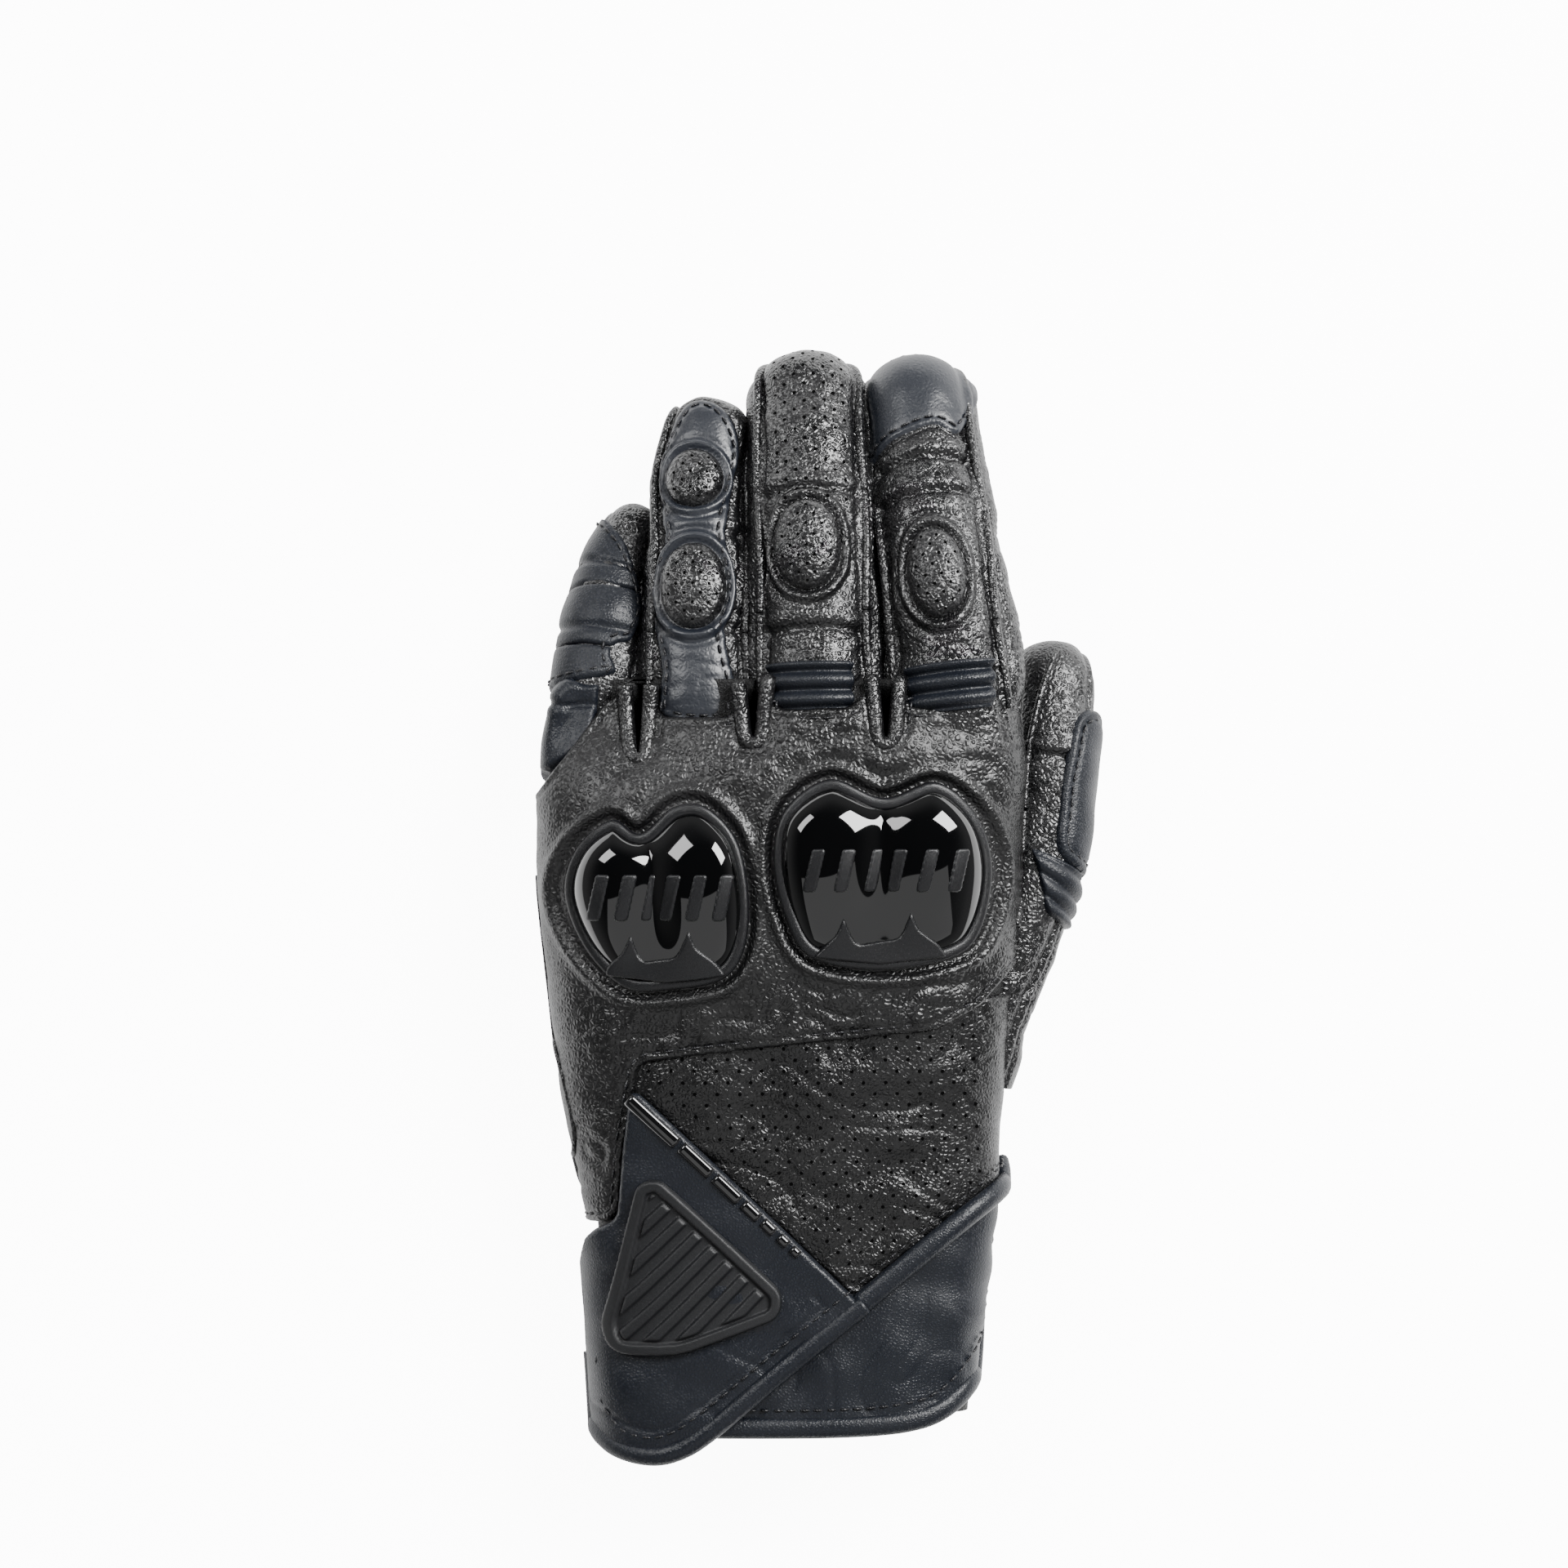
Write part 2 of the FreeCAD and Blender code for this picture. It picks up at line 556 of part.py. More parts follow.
def finger_parts(finger):
    """Three hollow segments, each a back and a palm half, and their joints."""
    cell = f"Sizes.{finger}"
    root = V(size(finger + "rootx"), size("rootline"), finger_root(finger))
    lengths = [size(finger + part) for part in ("baselong", "midlong", "tiplong")]
    dips = [size(finger + part) for part in ("basedip", "middip", "tipdip")]
    places = segment_places(root, size(finger + "lean"), lengths, dips)
    radii = [f"{cell}{part} / 2" for part in ("rootdia", "middia", "tipdia", "enddia")]
    mitres = [f"({cell}basedip + Sizes.rootbend) / 2",
              f"({cell}middip - {cell}basedip + Sizes.midbend) / 2",
              f"({cell}tipdip - {cell}middip + Sizes.tipbend) / 2", "0"]
    bends = [size("rootbend"), size("midbend"), size("tipbend")]
    parent = "hand"
    for index, part in enumerate(("base", "mid", "tip")):
        name = f"{finger}_{part}"
        half_pair(name, name, places[index], f"{cell}{part}long", radii[index], radii[index + 1],
                  mitres[index], mitres[index + 1], part == "tip")
        add_joint(name + "_bend", parent, name, places[index], bends[index])
        parent = name
    return places


def knuckle_pad(name, body_name, place, radius, wide, long):
    """Oval dome that sits on the rounded back of a finger, over a joint."""
    dome = doc.addObject("Part::Ellipsoid", name + "_dome")
    dome.setExpression("Radius1", "Sizes.padproud + 1")
    dome.setExpression("Radius2", wide)
    dome.setExpression("Radius3", long)
    dome.setExpression("Placement.Base.z", f"{radius} - 1")
    core = doc.addObject("Part::Cylinder", name + "_core")
    core.setExpression("Radius", f"{radius} + Sizes.clearance")
    core.Height = 80
    core.Placement = FreeCAD.Placement(V(0, -40, 0), FreeCAD.Rotation(V(1, 0, 0), -90))
    doc.recompute()
    keep(name, boolean("Cut", name + "_solid", dome, core), body_name, place)


def ribbed_panel(name, body_name, place, radius):
    """Accordion stretch panel of three ribs over the back of a finger root."""
    under = f"{radius} + Sizes.clearance"
    profile = [("0.4", f"{under} + 0.6")]
    for index in range(3):
        start = 0.4 + 3.4 * index
        profile += [(f"{start + 0.6}", f"{under} + 2"), (f"{start + 2.8}", f"{under} + 2"),
                    (f"{start + 3.4}", f"{under} + 1")]
    profile += [("10.6", under), ("0.4", under)]
    keep(name, turned_shell(name, profile, 80), body_name, place)


def side_guard(name, body_name, place, radius, near, far, roll):
    """Smooth leather guard wrapped round the outer side of a segment."""
    inner = f"{radius} + Sizes.clearance"
    profile = [(near, inner), (far, inner), (far, f"{inner} + Sizes.guardthick"),
               (near, f"{inner} + Sizes.guardthick")]
    rolled = place.multiply(FreeCAD.Placement(V(0, 0, 0), FreeCAD.Rotation(V(0, 1, 0), roll)))
    keep(name, turned_shell(name, profile, 90), body_name, rolled)


def finger_web(places):
    """Web across the front of the hand between the finger roots, above their hinges."""
    step = "(Sizes.littlerootx + Sizes.ringrootx) / 2"
    over_little = f"{places['little'][0].Base.z + 0.8:.3f}"
    over_rest = f"{max(place[0].Base.z for place in places.values()) + 0.8:.3f}"
    front = [("-90", over_little), (step, over_little), (step, over_rest), ("90", over_rest),
             ("90", "90"), ("-90", "90")]
    block = prism("web_block", front, "-(Sizes.rootline - 0.4)", "-(Sizes.rootline - 3)",
                  role="XZ_Plane")
    web = boolean("Common", "web_whole", hand_form("-Sizes.wall"), block)
    for finger, place in places.items():
        socket = doc.addObject("Part::Cylinder", f"{finger}_web_socket")
        socket.setExpression("Radius", f"Sizes.{finger}rootdia / 2 + Sizes.clearance")
        socket.Height = 30
        socket.Placement = place[0].multiply(FreeCAD.Placement(
            V(0, -15, 0), FreeCAD.Rotation(V(1, 0, 0), -90)))
        web = boolean("Cut", f"{finger}_web_cut", web, socket)
    keep("finger_web", web, "hand")


def thumb_parts():
    """Two hollow thumb segments and their joints, carried by the gusset."""
    root = V(size("thumbrootx"), size("thumbrooty"), size("thumbroot"))
    lengths = [size("thumbbaselong"), size("thumbtiplong")]
    dips = [size("thumbdip"), size("thumbtipdip")]
    places = segment_places(root, size("thumblean"), lengths, dips)
    near = "Sizes.thumbdip + Sizes.thumbbend"
    far = "(Sizes.thumbtipdip - Sizes.thumbdip + Sizes.thumbtipbend) / 2"
    half_pair("thumb_base", "thumb_base", places[0], "Sizes.thumbbaselong",
              "Sizes.thumbrootdia / 2", "Sizes.thumbmiddia / 2", near, far, False)
    half_pair("thumb_tip", "thumb_tip", places[1], "Sizes.thumbtiplong",
              "Sizes.thumbmiddia / 2", "Sizes.thumbenddia / 2", far, "0", True)
    add_joint("thumb_base_bend", "hand", "thumb_base", places[0], size("thumbbend"))
    add_joint("thumb_tip_bend", "thumb_base", "thumb_tip", places[1], size("thumbtipbend"))
    side_guard("thumb_guard", "thumb_base", places[0], "Sizes.thumbmiddia / 2", "4",
               "Sizes.thumbbaselong - 3", 44)


def flap_joint():
    """Hinge line of the closing flap, level with the middle of its leather."""
    rise = value_of(f"({FLAP_IN} + {FLAP_OUT}) / 2")
    ends = []
    for corner in (HINGE_TOP, HINGE_END):
        x, y = value_of(corner[0]), value_of(corner[1])
        near, far = ("heel", "wrist") if y > size("wristy") else ("wrist", "cuff")
        share = (y - size(near + "y")) / (size(far + "y") - size(near + "y"))
        height = size(near + "high") + share * (size(far + "high") - size(near + "high"))
        ends.append(V(x, y, height + rise))
    axis = ends[0] - ends[1]
    axis.normalize()
    JOINTS["flap_lift"] = {"parent": "hand", "child": "cuff_flap", "at": (ends[0] + ends[1]) * 0.5,
                           "axis": axis, "range": size("flaplift")}


def finished_box():
    box = FreeCAD.BoundBox()
    for item, _ in PARTS.values():
        box.add(item.Shape.optimalBoundingBox(False))
    return box


def move_to_origin():
    """Stand the glove on z = 0 with the middle of its footprint at the origin."""
    box = finished_box()
    shift = V(-(box.XMin + box.XMax) / 2, -(box.YMin + box.YMax) / 2, -box.ZMin)
    for item, _ in PARTS.values():
        item.Placement = FreeCAD.Placement(shift, FreeCAD.Rotation()).multiply(item.Placement)
    for joint in JOINTS.values():
        joint["at"] = joint["at"] + shift
    doc.recompute()
    return shift


def check_and_write():
    for item in doc.Objects:
        if "Invalid" in item.State or "Error" in item.State:
            raise ValueError(f"{item.Name} failed: {item.State}")
    os.makedirs("parts", exist_ok=True)
    for label, (item, _) in PARTS.items():
        if item.Shape.isNull() or not item.Shape.isValid() or item.Shape.Volume <= 0:
            raise ValueError(f"{label} has no valid shape")
        item.Shape.exportStep(f"parts/{label}.step")


def report():
    box = finished_box()
    print(f"box {box.XMin:.3f} {box.YMin:.3f} {box.ZMin:.3f} {box.XMax:.3f} {box.YMax:.3f} "
          f"{box.ZMax:.3f}")
    for label, (item, body) in PARTS.items():
        print(f"part {label} {body} solids {len(item.Shape.Solids)} volume {item.Shape.Volume:.1f}")
    for name, joint in JOINTS.items():
        at, axis = joint["at"], joint["axis"]
        print(f"joint {name} {joint['parent']} {joint['child']} {at.x:.4f} {at.y:.4f} {at.z:.4f} "
              f"{axis.x:.6f} {axis.y:.6f} {axis.z:.6f} {joint['range']:.2f}")


hand_shells()
wrist_layers()
cuff_flap()
knuckle_guard("outer")
knuckle_guard("inner")
palm_heel()
crotch_welt("little_ring_welt", "(Sizes.littlerootx + Sizes.ringrootx) / 2")
crotch_welt("ring_middle_welt", "(Sizes.ringrootx + Sizes.middlerootx) / 2")
crotch_welt("middle_index_welt", "(Sizes.middlerootx + Sizes.indexrootx) / 2")
finger_places = {finger: finger_parts(finger) for finger in FINGERS}
finger_web(finger_places)
knuckle_pad("ring_middle_pad", "ring_mid", finger_places["ring"][1], "Sizes.ringmiddia / 2",
            "7.6", "9")
knuckle_pad("ring_tip_pad", "ring_tip", finger_places["ring"][2], "Sizes.ringtipdia / 2",
            "6.8", "7")
knuckle_pad("middle_pad", "middle_mid", finger_places["middle"][1], "Sizes.middlemiddia / 2",
            "7.8", "9.4")
knuckle_pad("index_pad", "index_mid", finger_places["index"][1], "Sizes.indexmiddia / 2",
            "7", "9.6")
for finger in ("middle", "index"):
    ribbed_panel(f"{finger}_stretch_panel", f"{finger}_base", finger_places[finger][0],
                 f"Sizes.{finger}rootdia / 2")
side_guard("little_guard_base", "little_base", finger_places["little"][0],
           "Sizes.littlerootdia / 2", "2", "Sizes.littlebaselong - 1", -44)
side_guard("little_guard_middle", "little_mid", finger_places["little"][1],
           "Sizes.littlemiddia / 2", "1", "Sizes.littlemidlong - 1", -44)
thumb_parts()
flap_joint()
move_to_origin()
check_and_write()
report()
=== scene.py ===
"""The looks of a left-hand riding glove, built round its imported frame.

Lengths here are millimetres, and every mesh is scaled to metres when it is made. Shapes on the hand are
given on the cutting pattern, whose own zero is placed from the middle finger's root joint.
"""

import json

import bpy
import numpy as np
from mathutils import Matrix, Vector


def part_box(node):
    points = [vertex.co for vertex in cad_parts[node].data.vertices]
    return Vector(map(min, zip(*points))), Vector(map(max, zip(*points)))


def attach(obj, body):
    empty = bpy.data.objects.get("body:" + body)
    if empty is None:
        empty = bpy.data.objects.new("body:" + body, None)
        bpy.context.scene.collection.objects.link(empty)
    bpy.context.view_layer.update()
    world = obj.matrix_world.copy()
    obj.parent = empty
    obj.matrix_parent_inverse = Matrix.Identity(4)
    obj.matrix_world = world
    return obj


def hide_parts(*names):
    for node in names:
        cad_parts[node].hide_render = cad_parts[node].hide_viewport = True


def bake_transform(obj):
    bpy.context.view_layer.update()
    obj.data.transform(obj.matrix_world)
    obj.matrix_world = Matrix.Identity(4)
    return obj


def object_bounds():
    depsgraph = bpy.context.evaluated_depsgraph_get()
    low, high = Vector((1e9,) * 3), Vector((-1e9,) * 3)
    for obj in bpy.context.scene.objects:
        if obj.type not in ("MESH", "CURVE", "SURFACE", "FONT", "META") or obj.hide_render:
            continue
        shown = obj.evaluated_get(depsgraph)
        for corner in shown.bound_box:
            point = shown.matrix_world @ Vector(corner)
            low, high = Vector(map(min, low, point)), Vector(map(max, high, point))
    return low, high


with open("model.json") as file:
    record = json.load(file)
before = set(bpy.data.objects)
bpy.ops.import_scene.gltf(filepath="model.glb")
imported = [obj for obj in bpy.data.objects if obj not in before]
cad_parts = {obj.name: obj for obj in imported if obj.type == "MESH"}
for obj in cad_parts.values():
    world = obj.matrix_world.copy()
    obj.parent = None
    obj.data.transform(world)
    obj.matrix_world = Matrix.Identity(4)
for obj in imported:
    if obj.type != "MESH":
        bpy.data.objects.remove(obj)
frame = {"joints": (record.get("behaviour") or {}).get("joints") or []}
cad_low, cad_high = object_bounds()
JOINTS = {joint["name"]: joint for joint in frame["joints"]}
MM = 0.001
CELL = 0.55  # the usual size of a mesh face
PATTERN_ROOT = np.array((-0.4, 49.5))  # the middle finger's root on the cutting pattern


def joint_at(name):
    """Where a joint is, in millimetres."""
    return np.array(JOINTS[name]["pos_m"]) / MM


def node_box(name):
    """The lowest and highest corner of a CAD node, in millimetres."""
    low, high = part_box(name)
    return np.array(low) / MM, np.array(high) / MM


HOME = joint_at("middle_base_bend")[:2] - PATTERN_ROOT

# ---------------------------------------------------------------- numbers and curves


def step(value):
    """0 below 0, 1 above 1 and 3t^2 - 2t^3 between."""
    t = np.clip(value, 0, 1)
    return t * t * (3 - 2 * t)


def hump(distance, width):
    """exp(-(d/w)^2), a smooth bump."""
    return np.exp(-np.square(distance / width))


def dome(share):
    """A quarter circle: sqrt(1 - (1 - t)^2), level from t = 1 on."""
    return np.sqrt(np.clip(1 - np.square(1 - np.clip(share, 0, 1)), 0, 1))


def unit(vectors):
    """The vectors at length 1."""
    return vectors / np.maximum(np.linalg.norm(vectors, axis=-1, keepdims=True), 1e-9)


def waves(points, size, seed):
    """An uneven swell, about -1 to 1: the sum of fourteen sine waves in fixed random directions,
    1/sqrt(7) sin(2 pi k.p / size + phase), with k between 0.6 and 1.6 long."""
    random = np.random.default_rng(seed)
    total = np.zeros(points.shape[:-1])
    for _ in range(14):
        direction = unit(random.normal(size=3)) * random.uniform(0.6, 1.6)
        total += np.sin(2 * np.pi * (points @ direction) / size + random.uniform(0, 2 * np.pi))
    return total / np.sqrt(7)


def folds(points, along, spacing, seed):
    """Creases across the direction `along`, 0 to -1 deep: -(1 - |sin(pi q)|)^3 with q warped by a swell,
    fading in and out with a second one."""
    q = points @ unit(np.array(along, float)) / spacing + 0.55 * waves(points, 2.6 * spacing, seed)
    fade = np.clip(0.5 + 0.6 * waves(points, 3.2 * spacing, seed + 1), 0, 1)
    return -np.power(1 - np.abs(np.sin(np.pi * q)), 3) * fade


def eased(stations, values, at, blur=0.0):
    """Straight lines between the stations, run on past both ends and rounded by a Gaussian `blur` wide."""
    stations = np.asarray(stations, float)
    values = np.asarray(values, float).reshape(len(stations), -1)
    pitch = 0.25
    line = np.arange(stations[0] - 4 * blur - 1, stations[-1] + 4 * blur + 1, pitch)
    columns = []
    for column in values.T:
        first = (column[1] - column[0]) / (stations[1] - stations[0])
        last = (column[-1] - column[-2]) / (stations[-1] - stations[-2])
        drawn = np.interp(line, stations, column)
        drawn += first * np.minimum(line - stations[0], 0) + last * np.maximum(line - stations[-1], 0)
        if blur:
            reach = np.arange(-int(3 * blur / pitch), int(3 * blur / pitch) + 1) * pitch
            weight = np.exp(-0.5 * np.square(reach / blur))
            padded = np.pad(drawn, len(reach) // 2, mode="reflect", reflect_type="odd")
            drawn = np.convolve(padded, weight / weight.sum(), mode="valid")
        columns.append(np.interp(at, line, drawn))
    return np.stack(columns, axis=-1)


def run_along(line):
    """How far along a polyline each of its points is."""
    return np.concatenate([[0], np.cumsum(np.linalg.norm(np.diff(line, axis=0), axis=1))])


def evenly(line, pitch, closed=False):
    """The polyline resampled at an even pitch."""
    line = np.asarray(line, float)
    if closed:
        line = np.vstack([line, line[:1]])
    run = run_along(line)
    count = max(2, int(round(run[-1] / pitch)) + 1)
    at = np.linspace(0, run[-1], count)
    made = np.stack([np.interp(at, run, column) for column in line.T], axis=-1)
    return made[:-1] if closed else made


def curve(corners, closed=True, pitch=0.6):
    """A Catmull-Rom curve through the corners."""
    p = np.asarray(corners, float)
    n = len(p)
    spans = n if closed else n - 1
    t = np.linspace(0, 1, 24, endpoint=False)[:, None]
    drawn = []
    for i in range(spans):
        if closed:
            a, b, c, d = p[i - 1], p[i], p[(i + 1) % n], p[(i + 2) % n]
        else:
            a, b, c, d = p[max(i - 1, 0)], p[i], p[i + 1], p[min(i + 2, n - 1)]
        drawn.append(
            0.5 * (2 * b + (c - a) * t + (2 * a - 5 * b + 4 * c - d) * t**2 + (3 * b - a - 3 * c + d) * t**3)
        )
    if not closed:
        drawn.append(p[-1:])
    return evenly(np.vstack(drawn), pitch, closed)


def rounded(corners, radius, pitch=0.6):
    """A closed outline with each corner turned by a parabola that starts `radius` before it."""
    p = np.asarray(corners, float)
    before, after = np.roll(p, 1, axis=0) - p, np.roll(p, -1, axis=0) - p
    reach = np.broadcast_to(np.asarray(radius, float), len(p))
    room = 0.48 * np.minimum(np.linalg.norm(before, axis=1), np.linalg.norm(after, axis=1))
    reach = np.minimum(reach, room)[:, None]
    start, stop = p + unit(before) * reach, p + unit(after) * reach
    t = np.linspace(0, 1, 9)[:, None, None]
    drawn = (1 - t) ** 2 * start + 2 * t * (1 - t) * p + t**2 * stop
    return evenly(drawn.transpose(1, 0, 2).reshape(-1, 2), pitch, closed=True)


def turned_right(vectors):
    """The flat vectors turned a quarter turn clockwise."""
    return np.stack([vectors[..., 1], -vectors[..., 0]], axis=-1)


def inset(outline, distance):
    """The closed outline moved inward, along its own smoothed normals."""
    p = np.asarray(outline, float)
    inward = -turned_right(unit(np.roll(p, -2, axis=0) - np.roll(p, 2, axis=0)))
    area = 0.5 * np.sum(p[:, 0] * np.roll(p[:, 1], -1) - p[:, 1] * np.roll(p[:, 0], -1))
    return p + inward * np.sign(area) * distance


def read_table(table, row, column):
    """The table's value at a row and column that need not be whole, straight between its entries."""
    row = np.clip(row, 0, table.shape[0] - 1.001)
    column = np.clip(column, 0, table.shape[1] - 1.001)
    i, j = row.astype(int), column.astype(int)
    s, t = row - i, column - j
    if table.ndim > 2:
        s, t = s[..., None], t[..., None]
    near = table[i, j] * (1 - t) + table[i, j + 1] * t
    far = table[i + 1, j] * (1 - t) + table[i + 1, j + 1] * t
    return near * (1 - s) + far * s


def depth_inside(outline, u, v):
    """How far each point is inside a closed outline, negative outside, and the nearest point on it."""
    a, b = outline, np.roll(outline, -1, axis=0)
    edge = b - a
    flat_u, flat_v = u.ravel(), v.ravel()
    depth, near = np.empty(flat_u.size), np.empty((flat_u.size, 2))
    for first in range(0, flat_u.size, 20000):
        part = slice(first, first + 20000)
        p = np.stack([flat_u[part], flat_v[part]], axis=-1)[:, None, :]
        share = np.clip(np.sum((p - a) * edge, axis=-1) / np.maximum(np.sum(edge**2, axis=-1), 1e-12), 0, 1)
        foot = a + share[..., None] * edge
        gap = np.linalg.norm(p - foot, axis=-1)
        best = np.argmin(gap, axis=1)
        row = np.arange(len(best))
        spans = (a[:, 1] > p[..., 1]) != (b[:, 1] > p[..., 1])
        rise = np.where(np.abs(edge[:, 1]) < 1e-12, 1e-12, edge[:, 1])
        left = p[..., 0] < a[:, 0] + (p[..., 1] - a[:, 1]) * edge[:, 0] / rise
        inside = np.sum(spans & left, axis=1) % 2 == 1
        depth[part] = np.where(inside, 1, -1) * gap[row, best]
        near[part] = foot[row, best]
    return depth.reshape(u.shape), near.reshape(u.shape + (2,))


# ---------------------------------------------------------------- surfaces to lay leather on


TOP_ENTRY = 200  # the top line's place in each row of a sleeve's table


class Sleeve:
    """A closed sleeve as a table of points, one section to a row.

    A section's point at angle f from the top is centre + r (side sin f + up cos f), where
    r = (|sin f / a|^p + |cos f / b|^p)^(-1/p) for half width a and half height b.
    A point on the sleeve is (u, v): u round from the top line and v along the rows."""

    def __init__(self, rows, centres, sides, ups, half_widths, half_heights, power):
        self.rows = rows
        angle = np.linspace(-np.pi, np.pi, 721)
        a, b, p = half_widths[:, None], half_heights[:, None], np.reshape(power, (-1, 1))
        reach = (np.abs(np.sin(angle) / a) ** p + np.abs(np.cos(angle) / b) ** p) ** (-1 / p)
        ring = centres[:, None] + (reach * np.sin(angle))[..., None] * sides[:, None]
        ring = ring + (reach * np.cos(angle))[..., None] * ups[:, None]
        pace = np.linalg.norm(np.diff(ring, axis=1), axis=2)
        run = np.concatenate([np.zeros((len(rows), 1)), np.cumsum(pace, axis=1)], axis=1)
        self.half_girth = run[:, -1] / 2
        self.shares = np.linspace(-1, 1, 2 * TOP_ENTRY + 1)
        run = run / self.half_girth[:, None] - 1
        self.points = np.stack(
            [[np.interp(self.shares, r, ring[i, :, k]) for k in range(3)] for i, r in enumerate(run)]
        ).transpose(0, 2, 1)
        self.centres = centres
        self.face_out()

    def face_out(self):
        """Works out the outward direction at every entry of the table."""
        across, along = np.gradient(self.points, axis=1), np.gradient(self.points, axis=0)
        self.normals = unit(np.cross(across, along))
        out = np.sum(self.normals * (self.points - self.centres[:, None]), axis=-1)
        self.normals *= np.sign(np.median(out))

    def girth(self, v):
        """Half the distance round at v."""
        return np.interp(v, self.rows, self.half_girth)

    def look_up(self, table, u, v):
        """The table's value at (u, v), straight between its entries."""
        share = (u / self.girth(v) + 1) % 2
        return read_table(table, np.interp(v, self.rows, np.arange(len(self.rows))), share * TOP_ENTRY)

    def normal(self, u, v):
        """The outward direction at (u, v)."""
        return unit(self.look_up(self.normals, u, v))

    def at(self, u, v, lift=0.0):
        """The point at (u, v), `lift` above the sleeve."""
        u, v = np.broadcast_arrays(np.asarray(u, float), np.asarray(v, float))
        return self.look_up(self.points, u, v) + self.normal(u, v) * np.asarray(lift, float)[..., None]

    def v_of_y(self, y):
        """The row whose top line is at this y."""
        return float(np.interp(y, self.points[:, TOP_ENTRY, 1], self.rows))

    def spot(self, x, y):
        """(u, v) of the top-side point seen at (x, y). Past the sleeve's edge x counts on down its side."""
        v = self.v_of_y(y)
        row = int(round(np.interp(v, self.rows, np.arange(len(self.rows)))))
        xs = self.points[row, :, 0]
        left, right = int(np.argmin(xs)), int(np.argmax(xs))
        share = np.interp(x, xs[left : right + 1], self.shares[left : right + 1])
        over = min(x - xs[left], 0) + max(x - xs[right], 0)
        return share * self.half_girth[row] + over, v

    def laid(self, line):
        """The line of (x, y) points as (u, v) points."""
        return np.array([self.spot(x, y) for x, y in line])


class Plate:
    """A surface z = height(x, y), on which u is x and v is y."""

    def __init__(self, height):
        self.height = height

    def normal(self, u, v):
        """The upward direction, from the slopes over a tenth of a millimetre."""
        slope_x = (self.height(u + 0.05, v) - self.height(u - 0.05, v)) / 0.1
        slope_y = (self.height(u, v + 0.05) - self.height(u, v - 0.05)) / 0.1
        return unit(np.stack([-slope_x, -slope_y, np.ones_like(slope_x)], axis=-1))

    def at(self, u, v, lift=0.0):
        """The point at (u, v), `lift` above the surface."""
        u, v = np.broadcast_arrays(np.asarray(u, float), np.asarray(v, float))
        foot = np.stack([u, v, self.height(u, v)], axis=-1)
        return foot + self.normal(u, v) * np.asarray(lift, float)[..., None]


# ---------------------------------------------------------------- meshes


def mesh_object(name, points, quads, triangles=None, masks=None):
    """An object from arrays: points in millimetres, faces as rows of point numbers."""
    mesh = bpy.data.meshes.new(name)
    triangles = np.empty((0, 3), int) if triangles is None else triangles
    corners = np.concatenate([quads.ravel(), triangles.ravel()])
    sizes = np.concatenate([np.full(len(quads), 4), np.full(len(triangles), 3)])
    mesh.vertices.add(len(points))
    mesh.vertices.foreach_set("co", (points * MM).astype(np.float32).ravel())
    mesh.loops.add(len(corners))
    mesh.loops.foreach_set("vertex_index", corners.astype(np.int32))
    mesh.polygons.add(len(sizes))
    starts = np.concatenate([[0], np.cumsum(sizes)[:-1]])
    mesh.polygons.foreach_set("loop_start", starts.astype(np.int32))
    for key, values in (masks or {}).items():
        attribute = mesh.attributes.new(key, "FLOAT", "POINT")
        attribute.data.foreach_set("value", np.asarray(values, np.float32).ravel())
    mesh.update(calc_edges=True)
    mesh.validate()
    mesh.polygons.foreach_set("use_smooth", np.ones(len(sizes), bool))
    made = bpy.data.objects.new(name, mesh)
    bpy.context.scene.collection.objects.link(made)
    return made


def grid_quads(rows, columns, wrap):
    """Quads over a grid of rows x columns points, joined round when wrap is set."""
    i, j = np.meshgrid(np.arange(rows - 1), np.arange(columns if wrap else columns - 1), indexing="ij")
    k = (j + 1) % columns
    near, far = i * columns, (i + 1) * columns
    return np.stack([near + j, near + k, far + k, far + j], axis=-1).reshape(-1, 4)


def sleeve_mesh(name, sleeve, first, last, relief, closed_end=False, cell=CELL):
    """The sleeve between two rows, raised by relief(u, v, points) -> (lift, masks)."""
    rows = max(8, int((last - first) / cell))
    columns = 2 * int(sleeve.half_girth.max() / cell)
    v = np.linspace(first, last, rows)[:, None] * np.ones(columns)
    u = np.linspace(-1, 1, columns, endpoint=False) * sleeve.girth(v)
    lift, masks = relief(u, v, sleeve.at(u, v))
    points = sleeve.at(u, v, lift).reshape(-1, 3)
    masks = {key: values.ravel() for key, values in masks.items()}
    triangles = None
    if closed_end:
        ring = (rows - 1) * columns + np.arange(columns)
        triangles = np.stack([ring, np.roll(ring, -1), np.full(columns, len(points))], axis=-1)
        points = np.vstack([points, points[ring].mean(axis=0)])
        masks = {key: np.append(values, values[-1]) for key, values in masks.items()}
    return mesh_object(name, points, grid_quads(rows, columns, wrap=True), triangles, masks)


def panel_top(surface, u, v, depth, low, high, edge, relief):
    """How high a panel's top stands: low to high as a quarter circle, and its relief past the rim."""
    shaped = relief(u, v, depth, surface.at(u, v)) if relief else 0.0
    return low + (high - low) * dome(depth / edge) + shaped * step(depth / edge)


